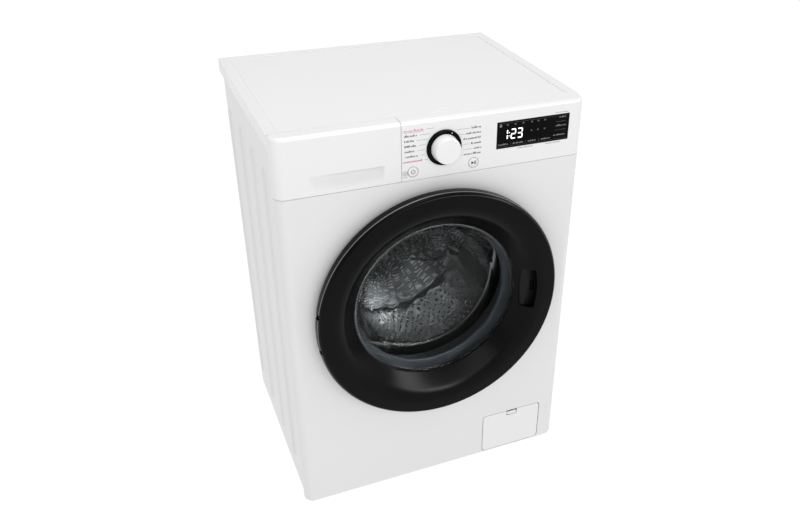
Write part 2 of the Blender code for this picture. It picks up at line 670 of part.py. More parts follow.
def inlet_valve(plastic):
    """Water valve with its threaded inlet through the rear panel."""
    made = box("inlet_valve", (-0.2150, -0.1650), (0.3500, 0.4400), (0.7680, 0.8120), plastic)
    join(made, turned("valve_inlet", [(0, 0.43), (0.0132, 0.43), (0.0132, 0.4740), (0.0090, 0.4740),
                                      (0.0090, 0.4550), (0, 0.4550)], about_y(-0.190, 0.790),
                      sides=SMALL_ROUND))
    return made


def drain_outlet(plastic):
    """Spigot on the rear panel for the drain hose."""
    profile = [(0.0130, 0.4400), (0.0160, 0.4400), (0.0160, 0.4603), (0.0240, 0.4603), (0.0240, 0.4630),
               (0.0160, 0.4630), (0.0160, 0.4740), (0.0130, 0.4740)]
    return turned("drain_outlet", profile, about_y(0.240, 0.120), plastic, SMALL_ROUND)


def power_inlet_gland(plastic):
    """Cable gland on the rear panel."""
    profile = [(0.0040, 0.4500), (0.0072, 0.4500), (0.0072, 0.4603), (0.0130, 0.4603), (0.0130, 0.4635),
               (0.0085, 0.4735), (0.0040, 0.4735)]
    return turned("power_inlet_gland", profile, about_y(0.215, 0.780), plastic, SMALL_ROUND)


def foot(name, x, depth, rubber):
    """Levelling foot: pad, hexagon and stud."""
    profile = [(0, 0), (0.0190, 0), (0.0190, 0.0060), (0.0150, 0.0090), (0.0055, 0.0090),
               (0.0055, 0.0400), (0, 0.0400)]
    made = turned(name, profile, about_z(x, depth), rubber, SMALL_ROUND)
    hexagon = arc((x, depth), 0.0100, 0, 300, 5)
    join(made, prism("foot_hexagon", hexagon, upright, 0.0085, 0.0140))
    return made


# ---- Assembly --------------------------------------------------------------------------------------
def clear_scene():
    for old in list(bpy.data.objects):
        bpy.data.objects.remove(old, do_unlink=True)


def build():
    white_paint = material("white_paint", (0.86, 0.86, 0.87), 0.30)
    white_plastic = material("white_plastic", (0.88, 0.88, 0.88), 0.30)
    laminate = material("white_laminate", (0.88, 0.88, 0.89), 0.35)
    black_plastic = material("black_plastic", (0.012, 0.012, 0.013), 0.28)
    display_glass = material("display_glass", (0.005, 0.005, 0.006), 0.08)
    glass = material("clear_glass", (0.80, 0.86, 0.87), 0.02, alpha=0.35)
    rubber = material("gasket_rubber", (0.16, 0.18, 0.19), 0.55)
    black_rubber = material("black_rubber", (0.03, 0.03, 0.03), 0.70)
    stainless = material("stainless", (0.60, 0.61, 0.62), 0.22, 1.0)
    zinc_steel = material("zinc_steel", (0.55, 0.56, 0.57), 0.38, 1.0)
    cast_aluminium = material("cast_aluminium", (0.62, 0.63, 0.64), 0.45, 1.0)
    tub_plastic = material("tub_plastic", (0.50, 0.51, 0.52), 0.50)
    concrete = material("concrete", (0.42, 0.41, 0.39), 0.90)
    copper = material("copper", (0.70, 0.32, 0.16), 0.35, 1.0)
    blue_plastic = material("blue_plastic", (0.10, 0.25, 0.45), 0.40)

    # Cabinet
    base_frame(zinc_steel)
    side_panel("left_side_panel", -1, white_paint)
    side_panel("right_side_panel", 1, white_paint)
    rear_panel(zinc_steel)
    rear_cover(zinc_steel)
    front_panel(white_paint)
    worktop(white_plastic, laminate)
    control_panel(white_plastic)
    box("display_window", (0.1150, 0.2660), (0.0002, 0.0028), (0.7735, 0.8255), display_glass)
    box("main_control_board", (0.1000, 0.2500), (0.2200, 0.3800), (0.7520, 0.8000), black_plastic)
    dispenser_housing(white_plastic)
    inlet_valve(blue_plastic)
    drain_outlet(black_plastic)
    power_inlet_gland(black_plastic)
    service_recess(white_plastic)
    drain_pump(tub_plastic)
    sump_hose(black_rubber)
    door_lock(black_plastic)
    gasket(rubber)
    _, _, hinge_arm = door_hinge(zinc_steel, cast_aluminium)

    # Suspension and tub
    for side, sign in (("left", -1), ("right", 1)):
        spring(f"spring_{side}", sign * 0.235, zinc_steel)
    rods = [damper(side, x, black_plastic, zinc_steel)[1] for side, x in (("left", -0.15), ("right", 0.15))]
    centre = (0, at_depth(0.2250), DRUM_HEIGHT)
    moving("tub_bounce", centre, rods + [
        tub_front(tub_plastic),
        tub_rear(tub_plastic),
        counterweight("counterweight_upper", 35, 145, concrete),
        counterweight("counterweight_lower", 215, 325, concrete),
        heater(stainless),
        bearing("bearing_front", 0.3800, stainless),
        bearing("bearing_rear", 0.3970, stainless),
        stator(copper),
    ])
    moving("drum_spin", centre, [
        drum_shell(stainless),
        *(lifter(f"drum_lifter_{k + 1}", 90 + 120 * k, stainless) for k in range(3)),
        spider(cast_aluminium),
        drive_shaft(stainless),
        rotor(zinc_steel),
    ])

    # Door
    hook = latch_hook(cast_aluminium)
    moving("door_swing", (HINGE_X, at_depth(HINGE_DEPTH), DRUM_HEIGHT), [
        door_outer_ring(black_plastic),
        door_inner_frame(black_plastic),
        door_glass(glass),
        hinge_arm,
    ])
    moving("latch_pivot", (LATCH_X, at_depth(LATCH_DEPTH), DRUM_HEIGHT), [hook])

    # Drawer, dial, buttons, flap, filter and feet
    moving("drawer_slide", (-0.180, at_depth(0), 0.780),
           [drawer_front(white_plastic), drawer_tray(white_plastic)])
    moving("dial_turn", (DIAL_X, at_depth(0), DIAL_Z), dial(white_plastic, black_plastic))
    for name, x in (("power_button", POWER_X), ("start_button", START_X)):
        moving(f"{name}_press", (x, at_depth(0), BUTTON_Z), [push_button(name, x, white_plastic)])
    moving("flap_tip", (0.186, at_depth(0.0), FLAP_Z[0]), [flap(white_plastic)])
    moving("filter_turn", (FILTER_X, at_depth(0.020), FILTER_Z), [pump_filter(tub_plastic)])
    corners = [(x, depth) for depth in FOOT_DEPTHS for x in (-FOOT_X, FOOT_X)]
    for number, (x, depth) in enumerate(corners, start=1):
        moving(f"foot_{number}_turn", (x, at_depth(depth), 0), [foot(f"foot_{number}", x, depth, black_rubber)])


clear_scene()
build()
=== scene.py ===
"""Looks of the front-loading washing machine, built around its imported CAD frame.

Metres, in the frame's own axes: +X to the right, the front faces -Y, +Z up. As in the CAD, depths
are stated from the front panel's outer face, and a negative depth stands proud of it.
"""

import math
import random

import bmesh
import bpy
from mathutils import Matrix, Vector, noise


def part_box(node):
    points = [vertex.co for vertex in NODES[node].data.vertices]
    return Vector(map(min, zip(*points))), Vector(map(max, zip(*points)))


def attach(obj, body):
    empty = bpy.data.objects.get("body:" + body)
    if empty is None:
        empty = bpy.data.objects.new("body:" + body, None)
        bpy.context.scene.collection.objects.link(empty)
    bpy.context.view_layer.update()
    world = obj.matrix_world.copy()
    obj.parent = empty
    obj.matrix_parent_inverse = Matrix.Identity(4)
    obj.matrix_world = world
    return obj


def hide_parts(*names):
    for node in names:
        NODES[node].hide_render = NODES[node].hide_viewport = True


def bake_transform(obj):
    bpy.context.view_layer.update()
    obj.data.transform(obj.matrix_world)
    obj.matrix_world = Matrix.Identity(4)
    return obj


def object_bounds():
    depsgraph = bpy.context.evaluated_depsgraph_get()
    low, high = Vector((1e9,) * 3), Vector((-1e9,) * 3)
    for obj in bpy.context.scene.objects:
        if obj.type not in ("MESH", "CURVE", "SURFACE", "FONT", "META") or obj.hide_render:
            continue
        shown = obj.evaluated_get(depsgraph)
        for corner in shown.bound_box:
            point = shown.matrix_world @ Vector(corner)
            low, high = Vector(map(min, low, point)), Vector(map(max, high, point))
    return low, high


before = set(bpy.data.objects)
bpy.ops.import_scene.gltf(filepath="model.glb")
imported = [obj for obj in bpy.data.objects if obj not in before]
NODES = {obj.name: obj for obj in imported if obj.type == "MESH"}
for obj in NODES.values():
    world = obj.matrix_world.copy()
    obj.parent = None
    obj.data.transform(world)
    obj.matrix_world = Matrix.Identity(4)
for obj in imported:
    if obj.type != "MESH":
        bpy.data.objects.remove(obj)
cad_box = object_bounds()
random.seed(7)

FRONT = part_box("front_panel")[0].y
CENTRE = (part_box("drum_shell")[0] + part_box("drum_shell")[1]) / 2
AXIS_X, AXIS_Z = CENTRE.x, CENTRE.z        # axis of the drum and the door
HALF = cad_box[1].x                        # half of the cabinet's width
DOOR_PROUD = FRONT - cad_box[0].y          # door ring in front of the front panel
CORNER = 0.020                             # radius of the vertical front corners
TOP_ROUND = 0.0075                         # radius of the fascia's top edge
LUGS = (AXIS_Z - 0.040, AXIS_Z + 0.040)    # heights of the two hinge lugs
PRINT = 0.00012                            # thickness of printed marks
ROUND = 144                                # sides of the large round pieces
SMALL_ROUND = 48                           # sides of the small ones


def at_depth(depth):
    return FRONT + depth


def depths_of(node):
    low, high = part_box(node)
    return low.y - FRONT, high.y - FRONT


def middle_of(node):
    """Middle of a node seen from the front."""
    low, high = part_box(node)
    return ((low.x + high.x) / 2, (low.z + high.z) / 2)


DIAL = middle_of("dial_knob")
BUTTON_RADIUS = (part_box("power_button")[1].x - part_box("power_button")[0].x) / 2


# ---- Materials ---------------------------------------------------------------------------------
def surface(name, light, dark, rough, cloud=14.0, grain=1400.0, bump=0.05, swing=0.03, metallic=0.0,
            specular=0.5, coat=0.0, coat_rough=0.08, coat_ior=1.5, stretch=(1, 1, 1), height=0.0002):
    """Two close tones in soft clouds, uneven gloss, and a fine grain in the bump."""
    made = bpy.data.materials.new(name)
    made.use_nodes = True
    tree = made.node_tree
    shader = tree.nodes["Principled BSDF"]
    for socket, value in (("Metallic", metallic), ("Specular IOR Level", specular), ("Coat Weight", coat),
                          ("Coat Roughness", coat_rough), ("Coat IOR", coat_ior)):
        shader.inputs[socket].default_value = value
    coords = tree.nodes.new("ShaderNodeTexCoord")
    place = tree.nodes.new("ShaderNodeMapping")
    place.inputs["Scale"].default_value = stretch
    tree.links.new(coords.outputs["Object"], place.inputs["Vector"])

    def clouds(scale, detail):
        node = tree.nodes.new("ShaderNodeTexNoise")
        node.inputs["Scale"].default_value = scale
        node.inputs["Detail"].default_value = detail
        tree.links.new(place.outputs["Vector"], node.inputs["Vector"])
        return node

    broad, fine = clouds(cloud, 3.0), clouds(grain, 2.0)
    ramp = tree.nodes.new("ShaderNodeValToRGB")
    for element, position, colour in zip(ramp.color_ramp.elements, (0.3, 0.7), (dark, light)):
        element.position = position
        element.color = (*colour, 1.0)
    tree.links.new(broad.outputs["Fac"], ramp.inputs["Fac"])
    tree.links.new(ramp.outputs["Color"], shader.inputs["Base Color"])
    gloss = tree.nodes.new("ShaderNodeMapRange")
    gloss.inputs["To Min"].default_value = rough - swing
    gloss.inputs["To Max"].default_value = rough + swing
    tree.links.new(fine.outputs["Fac"], gloss.inputs["Value"])
    tree.links.new(gloss.outputs["Result"], shader.inputs["Roughness"])
    relief = tree.nodes.new("ShaderNodeBump")
    relief.inputs["Strength"].default_value = bump
    relief.inputs["Distance"].default_value = height
    tree.links.new(fine.outputs["Fac"], relief.inputs["Height"])
    tree.links.new(relief.outputs["Normal"], shader.inputs["Normal"])
    return made


def tone(value):
    return (value, value, value)


def cool(value, blue):
    """Nearly white, with a little more blue."""
    return (value, value, blue)


def printed(name, light, dark, rough=0.55):
    return surface(name, light, dark, rough, 300, 2400, 0.05)


def metal(name, light, dark, rough, cloud, grain, bump, **more):
    return surface(name, light, dark, rough, cloud, grain, bump, metallic=1.0, **more)


PAINT = surface("white_paint", cool(0.750, 0.760), cool(0.740, 0.750), 0.34, 6, 1100, 0.06)
PLASTIC = surface("white_plastic", cool(0.80, 0.805), cool(0.79, 0.795), 0.27, 9, 2600, 0.05)
# A darker, duller copy of the white plastic for the scoop's faces: painted shade in the hollow.
SCOOP_SHADE = surface("scoop_shaded_plastic", cool(0.77, 0.775), cool(0.76, 0.765), 0.50, 9, 2600, 0.05, specular=0.06)
LAMINATE = surface("white_laminate", cool(0.79, 0.80), cool(0.78, 0.79), 0.42, 5, 3200, 0.10)
BLACK = surface("black_plastic", tone(0.0024), tone(0.0016), 0.24, 20, 2600, 0.08, specular=0.085)
# Grey for the line on the door ring's side: a painted highlight.
RING_HIGHLIGHT = surface("painted_highlight_grey", tone(0.15), tone(0.12), 0.32, 20, 2600, 0.05)
BLACK_GLOSS = surface("black_gloss", tone(0.003), tone(0.002), 0.12, 20, 900, 0.01, swing=0.01, specular=0.05)
DARK_TRIM = surface("black_moulding", tone(0.006), tone(0.004), 0.40, 30, 2400, 0.10, specular=0.16)
RUBBER = surface("gasket_rubber", (0.088, 0.097, 0.110), (0.068, 0.076, 0.087), 0.36, 30, 1800, 0.10,
                 specular=0.35)
BLACK_RUBBER = surface("black_rubber", tone(0.022), tone(0.014), 0.62, 40, 1500, 0.25)
# Steel with painted shade: its base is darkened to stand for the shade inside the drum. It is slightly rough,
# under a sharp clear coat, and keeps its detail behind the glass.
SHADED_STAINLESS = metal("stainless", (0.125, 0.127, 0.130), (0.085, 0.086, 0.089), 0.30, 16, 300, 0.05, swing=0.01,
                  stretch=(1, 0.05, 1), coat=1.0, coat_rough=0.03, coat_ior=2.1)
# A bright copy of the drum steel for hole rims and pressing crests: painted glints.
GLINT_STAINLESS = metal("painted_glint_stainless", (0.78, 0.782, 0.785), (0.70, 0.702, 0.705), 0.29, 16, 300, 0.02,
                 swing=0.005, coat=1.0, coat_rough=0.03, coat_ior=2.0)
ZINC = metal("zinc_steel", (0.60, 0.61, 0.62), (0.47, 0.48, 0.50), 0.38, 55, 700, 0.08)
ALUMINIUM = metal("cast_aluminium", (0.62, 0.63, 0.64), (0.50, 0.51, 0.52), 0.45, 60, 900, 0.30)
COPPER = metal("copper", (0.70, 0.32, 0.16), (0.45, 0.18, 0.08), 0.32, 60, 260, 0.60, stretch=(1, 0.1, 1),
               height=0.0005)
TUB = surface("tub_plastic", (0.075, 0.078, 0.082), (0.055, 0.058, 0.062), 0.50, 30, 1200, 0.20)
CONCRETE = surface("concrete", (0.44, 0.43, 0.41), (0.30, 0.29, 0.28), 0.90, 90, 420, 0.80, height=0.0006)
BLUE = surface("blue_plastic", (0.10, 0.25, 0.45), (0.07, 0.20, 0.38), 0.40, 30, 1500, 0.10)
FILTER_BLUE = surface("filter_plastic", (0.30, 0.36, 0.42), (0.25, 0.31, 0.37), 0.42, 30, 1500, 0.12)
INK = printed("grey_ink", (0.030, 0.030, 0.032), (0.024, 0.024, 0.026))
PALE_INK = printed("pale_ink", (0.20, 0.20, 0.205), (0.17, 0.17, 0.175))
ROSE_INK = printed("rose_ink", (0.62, 0.13, 0.22), (0.56, 0.10, 0.18))
DIM_INK = printed("dim_ink", tone(0.075), tone(0.060), 0.50)
SOFT_INK = printed("display_ink", tone(0.21), tone(0.18), 0.50)
DOT = printed("white_dot", tone(0.85), tone(0.80), 0.40)


def lit_digits():
    """Digits that glow a little."""
    made = surface("lit_segments", tone(0.85), tone(0.80), 0.4, 300, 2400, 0.02)
    shader = made.node_tree.nodes["Principled BSDF"]
    shader.inputs["Emission Color"].default_value = (0.93, 0.97, 1.0, 1.0)
    shader.inputs["Emission Strength"].default_value = 0.9
    return made


def clear_glass():
    """Glass whose reflections are held back, so that the drum reads through it."""
    made = surface("clear_glass", (0.76, 0.79, 0.80), (0.74, 0.77, 0.78), 0.012, 8, 60, 0.01, swing=0.004)
    shader = made.node_tree.nodes["Principled BSDF"]
    shader.inputs["Transmission Weight"].default_value = 1.0
    shader.inputs["Specular Tint"].default_value = (0.12, 0.12, 0.12, 1.0)
    shader.inputs["IOR"].default_value = 1.47
    return made


DIGITS = lit_digits()
GLASS = clear_glass()


# ---- Shape helpers -----------------------------------------------------------------------------
def linked(name, data):
    made = bpy.data.objects.new(name, data)
    bpy.context.scene.collection.objects.link(made)
    return made


def to_object(name, mesh_data, look, smooth=30):
    bmesh.ops.recalc_face_normals(mesh_data, faces=mesh_data.faces)
    mesh = bpy.data.meshes.new(name)
    mesh_data.to_mesh(mesh)
    mesh_data.free()
    if smooth:
        mesh.shade_smooth()
        mesh.set_sharp_from_angle(angle=math.radians(smooth))
    made = linked(name, mesh)
    if look:
        mesh.materials.append(look)
    return made


def soften(made, width, segments=3, angle=34):
    """Rounded edges, with the flat faces kept flat."""
    change = made.modifiers.new("rounded_edges", "BEVEL")
    change.width = width
    change.segments = segments
    change.limit_method = "ANGLE"
    change.angle_limit = math.radians(angle)
    change.harden_normals = True
    change.use_clamp_overlap = True
    made.data.shade_smooth()
    made.data.set_sharp_from_angle(angle=math.radians(max(angle, 30)))
    return made


def settle(made):
    """Apply the modifiers."""
    graph = bpy.context.evaluated_depsgraph_get()
    mesh = bpy.data.meshes.new_from_object(made.evaluated_get(graph), preserve_all_data_layers=True,
                                           depsgraph=graph)
    made.modifiers.clear()
    made.data = mesh
    return made


def shape(target, operation, tools):
    for tool in tools:
        change = target.modifiers.new("shape", "BOOLEAN")
        change.operation = operation
        change.solver = "EXACT"
        change.object = tool
    bpy.context.view_layer.update()
    settle(target)
    for tool in tools:
        bpy.data.objects.remove(tool, do_unlink=True)
    mesh_data = bmesh.new()
    mesh_data.from_mesh(target.data)
    bmesh.ops.remove_doubles(mesh_data, verts=mesh_data.verts, dist=1e-6)
    bmesh.ops.dissolve_limit(mesh_data, angle_limit=math.radians(0.3), verts=mesh_data.verts,
                             edges=mesh_data.edges)
    mesh_data.to_mesh(target.data)
    mesh_data.free()
    return target


def cut(target, *tools):
    return shape(target, "DIFFERENCE", tools)


def join(target, *tools):
    return shape(target, "UNION", tools)


def thicken(made, thickness, offset, smooth):
    """Turn a skin into a sheet."""
    thick = made.modifiers.new("sheet", "SOLIDIFY")
    thick.thickness = thickness
    thick.offset = offset
    settle(made)
    made.data.shade_smooth()
    made.data.set_sharp_from_angle(angle=math.radians(smooth))


def finished(made, body, replaces=()):
    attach(made, body)
    if replaces:
        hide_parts(*replaces)
    return made


def box(name, xs, depths, zs, look=None):
    low = Vector((xs[0], at_depth(depths[0]), zs[0]))
    high = Vector((xs[1], at_depth(depths[1]), zs[1]))
    mesh_data = bmesh.new()
    place = Matrix.Translation((low + high) / 2) @ Matrix.Diagonal((*(high - low), 1.0))
    bmesh.ops.create_cube(mesh_data, size=1.0, matrix=place)
    return to_object(name, mesh_data, look, 0)


def prism(name, outline, place, low, high, look=None, smooth=30):
    """An outline stretched from low to high; place turns its two directions and height into a point."""
    mesh_data = bmesh.new()
    ends = [[mesh_data.verts.new(place(a, b, along)) for a, b in outline] for along in (low, high)]
    mesh_data.faces.new(ends[0])
    mesh_data.faces.new(list(reversed(ends[1])))
    for i in range(len(outline)):
        j = (i + 1) % len(outline)
        mesh_data.faces.new((ends[0][i], ends[1][i], ends[1][j], ends[0][j]))
    return to_object(name, mesh_data, look, smooth)


def upright(x, depth, z):
    return (x, at_depth(depth), z)


def facing(x, z, depth):
    return (x, at_depth(depth), z)


def bridge(mesh_data, first, second, shine=()):
    """Faces between two rings; those whose numbers are in shine get the second material, a lighter copy that
    paints glints.
    """
    count = len(first)
    for k in range(count):
        n = (k + 1) % count
        mesh_data.faces.new((first[k], first[n], second[n], second[k])).material_index = k in shine


def turned(name, profile, place, look=None, sides=ROUND, smooth=30):
    """A closed profile of (radius, height) points turned about an axis."""
    mesh_data = bmesh.new()
    rings = []
    for radius, along in profile:
        if radius == 0:
            rings.append([mesh_data.verts.new(place(0, 0, along))])
        else:
            rings.append([mesh_data.verts.new(place(radius * math.cos(2 * math.pi * i / sides),
                                                    radius * math.sin(2 * math.pi * i / sides), along))
                          for i in range(sides)])
    for first, second in zip(rings, rings[1:] + rings[:1]):
        if len(first) == 1 and len(second) == 1:
            continue
        for i in range(sides):
            corners = [first[i % len(first)], first[(i + 1) % len(first)],
                       second[(i + 1) % len(second)], second[i % len(second)]]
            mesh_data.faces.new(list(dict.fromkeys(corners)))
    return to_object(name, mesh_data, look, smooth)


def about_y(x, z):
    return lambda a, b, depth: (x + a, at_depth(depth), z + b)


def about_z(x, depth):
    return lambda a, b, z: (x + a, at_depth(depth) + b, z)


ON_AXIS = about_y(AXIS_X, AXIS_Z)


def disc(name, place, radius, low, high, look=None, sides=SMALL_ROUND):
    return turned(name, [(0, low), (radius, low), (radius, high), (0, high)], place, look, sides)


def arc(centre, radius, start, end, steps):
    turns = [math.radians(start + (end - start) * i / steps) for i in range(steps + 1)]
    return [(centre[0] + radius * math.cos(t), centre[1] + radius * math.sin(t)) for t in turns]


def rounded_rectangle(low, high, radius, steps=8):
    (left, bottom), (right, top) = low, high
    return (arc((right - radius, bottom + radius), radius, -90, 0, steps)
            + arc((right - radius, top - radius), radius, 0, 90, steps)
            + arc((left + radius, top - radius), radius, 90, 180, steps)
            + arc((left + radius, bottom + radius), radius, 180, 270, steps))


def outline_of(node, radius, steps=8, grow=0.0):
    """Rounded outline of a node seen from the front."""
    low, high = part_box(node)
    return rounded_rectangle((low.x - grow, low.z - grow), (high.x + grow, high.z + grow), radius, steps)


def plan_of(node, radius, grow=0.0):
    """Rounded outline of a node seen from above."""
    low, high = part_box(node)
    return rounded_rectangle((low.x - grow, low.y - FRONT - grow), (high.x + grow, high.y - FRONT + grow),
                             radius, 4)


def on_circle(centre, radius, turn):
    return centre[0] + radius * math.cos(turn), centre[1] + radius * math.sin(turn)


def eased(share):
    """0 to 1 with a soft start and end."""
    share = max(0.0, min(1.0, share))
    return share * share * (3 - 2 * share)


def rounded(profile, radii, steps=4):
    """Closed profile with its corners rounded; radii gives one radius for each point."""
    points = []
    count = len(profile)
    for i, radius in enumerate(radii):
        here = Vector(profile[i])
        if radius <= 0:
            points.append(tuple(here))
            continue
        before, after = Vector(profile[i - 1]) - here, Vector(profile[(i + 1) % count]) - here
        reach = min(radius, before.length * 0.49, after.length * 0.49)
        start, end = here + before.normalized() * reach, here + after.normalized() * reach
        for k in range(steps + 1):
            t = k / steps
            points.append(tuple((1 - t) ** 2 * start + 2 * t * (1 - t) * here + t * t * end))
    return points


def swept(name, points, radius, look, sides=12, rib=0.0):
    """A round bar along a list of points; rib makes every other ring wider, as on a corrugated hose."""
    mesh_data = bmesh.new()
    path = [Vector(p) for p in points]
    rings, side = [], None
    for i, point in enumerate(path):
        ahead = (path[min(i + 1, len(path) - 1)] - path[max(i - 1, 0)]).normalized()
        if side is None:
            side = ahead.orthogonal().normalized()
        side = (side - ahead * side.dot(ahead)).normalized()
        other = ahead.cross(side)
        wide = radius - (rib if i % 2 else 0.0)
        rings.append([mesh_data.verts.new(point + wide * (math.cos(2 * math.pi * k / sides) * side
                                                          + math.sin(2 * math.pi * k / sides) * other))
                      for k in range(sides)])
    for first, second in zip(rings, rings[1:]):
        bridge(mesh_data, first, second)
    mesh_data.faces.new(rings[0])
    mesh_data.faces.new(rings[-1])
    return to_object(name, mesh_data, look, 70)


def smooth_path(points, steps):
    """A smooth curve through the points."""
    ends = [Vector(p) for p in points]
    ends = [2 * ends[0] - ends[1]] + ends + [2 * ends[-1] - ends[-2]]
    path = []
    for a, b, c, d in zip(ends, ends[1:], ends[2:], ends[3:]):
        for k in range(steps):
            t = k / steps
            path.append(0.5 * (2 * b + (c - a) * t + (2 * a - 5 * b + 4 * c - d) * t ** 2
                               + (3 * b - a - 3 * c + d) * t ** 3))
    return path + [ends[-2]]


def merged(name, parts):
    """One object from several meshes."""
    mesh_data = bmesh.new()
    looks = []
    for part in parts:
        settle(part)
        look = part.data.materials[0] if part.data.materials else None
        if look not in looks:
            looks.append(look)
        before = len(mesh_data.faces)
        mesh_data.from_mesh(part.data)
        mesh_data.faces.ensure_lookup_table()
        for face in mesh_data.faces[before:]:
            face.material_index = looks.index(look)
        bpy.data.objects.remove(part, do_unlink=True)
    mesh = bpy.data.meshes.new(name)
    mesh_data.to_mesh(mesh)
    mesh_data.free()
    for look in looks:
        mesh.materials.append(look)
    return linked(name, mesh)


def corner_plan(sign, inset=0.0, steps=14):
    """Plan of one rounded front corner, from the side towards the middle."""
    centre = (sign * (HALF - CORNER), CORNER)
    return arc(centre, CORNER - inset, 180 if sign < 0 else 0, 270 if sign < 0 else -90, steps)


# ---- Cabinet sheets ------------------------------------------------------------------------------
def bead_height(depth, z, beads, width, low, high, rise):
    """Height of the nearest raised bead, of half-round section with rounded ends."""
    total = 0.0
    for middle in beads:
        reach = max(low - z, z - high, 0.0)
        away = math.hypot(depth - middle, reach) / (width / 2)
        if away < 1:
            total = max(total, rise * (0.5 + 0.5 * math.cos(math.pi * away)) ** 0.8)
    return total


def spread(start, end, beads, width, coarse):
    """Stations along a line, close together over the beads."""
    stations = {round(start, 6), round(end, 6)}
    for middle in beads:
        stations.update(round(middle + width * (k / 14 - 0.5), 6) for k in range(15))
    steps = max(2, round((end - start) / coarse))
    for k in range(steps + 1):
        place = start + (end - start) * k / steps
        if all(abs(place - middle) > width / 2 + coarse * 0.2 for middle in beads):
            stations.add(round(place, 6))
    return sorted(stations)


def side_panel(name, sign):
    """Steel sheet with four pressed beads and its front and back edges folded in."""
    low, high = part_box(name)
    outer = high.x if sign > 0 else -low.x
    front, back = low.y - FRONT, high.y - FRONT
    beads, width = (0.107, 0.2095, 0.3176, 0.431), 0.016
    fold, flange, sheet = 0.0018, 0.0175, 0.0012
    plan = [(flange, front), (fold, front)]
    plan += [(fold - fold * math.sin(math.radians(t)), front + fold - fold * math.cos(math.radians(t)))
             for t in range(15, 90, 15)]
    straight = spread(front + fold, back - fold, beads, width, 0.016)
    plan += [(0.0, d) for d in straight]
    plan += [(fold - fold * math.cos(math.radians(t)), back - fold + fold * math.sin(math.radians(t)))
             for t in range(15, 90, 15)]
    plan += [(fold, back), (flange, back)]
    heights = [low.z, 0.030, 0.045, 0.058, 0.062, 0.066, 0.070, 0.074, 0.080]
    heights += [0.10 + 0.05 * k for k in range(13)]
    heights += [0.738, 0.744, 0.748, 0.752, 0.756, 0.760, 0.764, 0.768, 0.775, 0.790, 0.806, high.z]
    mesh_data = bmesh.new()
    rows = []
    for z in heights:
        row = []
        for inward, depth in plan:
            rise = 0.0
            if inward == 0.0:
                rise = bead_height(depth, z, beads, width, 0.071, 0.751, 0.0040)
            row.append(mesh_data.verts.new((sign * (outer - inward + rise), at_depth(depth), z)))
        rows.append(row)
    for below, above in zip(rows, rows[1:]):
        for k in range(len(plan) - 1):
            mesh_data.faces.new((below[k], below[k + 1], above[k + 1], above[k]))
    made = to_object(name + "_skin", mesh_data, PAINT, 50)
    bpy.context.view_layer.update()
    normal = made.data.polygons[len(made.data.polygons) // 2].normal
    if normal.x * sign < 0:
        made.data.flip_normals()
    thicken(made, sheet, -1, 50)
    finished(made, "cabinet", [name])
    weld, top, inner = outer - 0.0014, 0.7365, 0.2220
    leg, plate = 0.7000, 0.0035
    angle = [(weld, leg), (weld, top), (inner, top), (inner, top - plate), (weld - plate, top - plate),
             (weld - plate, leg)]
    bracket = prism(name.replace("side_panel", "spring_angle"), [(sign * x, z) for x, z in angle], facing,
                    0.1800, 0.2200, ZINC)
    finished(soften(bracket, 0.0006, 2), "cabinet")


def front_panel():
    """Sheet with rounded vertical corners and a rolled bottom edge, its openings, and its side returns."""
    low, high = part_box("front_panel")
    thick, roll, lip = 0.0015, 0.0075, 0.0150
    plan = []
    for sign in (-1, 1):
        part = []
        centre = (sign * (HALF - CORNER), CORNER)
        for x, depth in corner_plan(sign):
            inward = Vector((centre[0] - x, centre[1] - depth)).normalized()
            part.append((x, depth, inward))
        plan += part if sign < 0 else list(reversed(part))
    outside = [(0.0006, high.z), (0.0, high.z - 0.0006), (0.0, 0.60), (0.0, 0.30), (0.0, 0.06)]
    outside += [(roll - roll * math.cos(math.radians(t)), low.z + roll - roll * math.sin(math.radians(t)))
                for t in range(0, 91, 15)]
    inside = [(max(i + thick, thick), max(z, low.z + thick)) for i, z in reversed(outside)]
    inside[-1] = (thick, high.z)
    section = outside + [(roll + 0.004, low.z), (roll + 0.004, low.z + thick)] + inside
    mesh_data = bmesh.new()
    rows = [[mesh_data.verts.new((x + n.x * i, at_depth(depth + n.y * i), z)) for i, z in section]
            for x, depth, n in plan]
    count = len(section)
    for first, second in zip(rows, rows[1:]):
        for k in range(count):
            j = (k + 1) % count
            mesh_data.faces.new((first[k], second[k], second[j], first[j]))
    mesh_data.faces.new(rows[0])
    mesh_data.faces.new(rows[-1])
    bmesh.ops.remove_doubles(mesh_data, verts=mesh_data.verts, dist=1e-6)
    made = to_object("front_panel_skin", mesh_data, PAINT)
    flap_low, flap_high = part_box("service_flap")
    gap = 0.0013
    hole = rounded_rectangle((flap_low.x - gap, flap_low.z - 0.001), (flap_high.x + gap, flap_high.z + gap),
                             0.0085)
    through = (-0.01, 0.012)
    tools = [disc("opening", ON_AXIS, 0.190, *through, sides=ROUND),
             prism("flap_hole", hole, facing, *through),
             prism("latch_slot", rounded_rectangle((0.1990, 0.4510), (0.2160, 0.4770), 0.002), facing,
                   *through)]
    for middle in LUGS:
        slot = rounded_rectangle((-0.2440, middle - 0.005), (-0.2360, middle + 0.005), 0.0015)
        tools.append(prism("hinge_slot", slot, facing, *through))
    cut(made, *tools)
    soften(made, 0.0005, 2)
    finished(made, "cabinet", ["front_panel"])
    returns = []
    for sign in (-1, 1):
        edges = sorted((sign * (HALF - lip), sign * (HALF - 0.0013)))
        returns.append(box("return", edges, (CORNER - 0.0012, CORNER), (0.0780, high.z - 0.004), PAINT))
    finished(merged("front_panel_returns", returns), "cabinet")


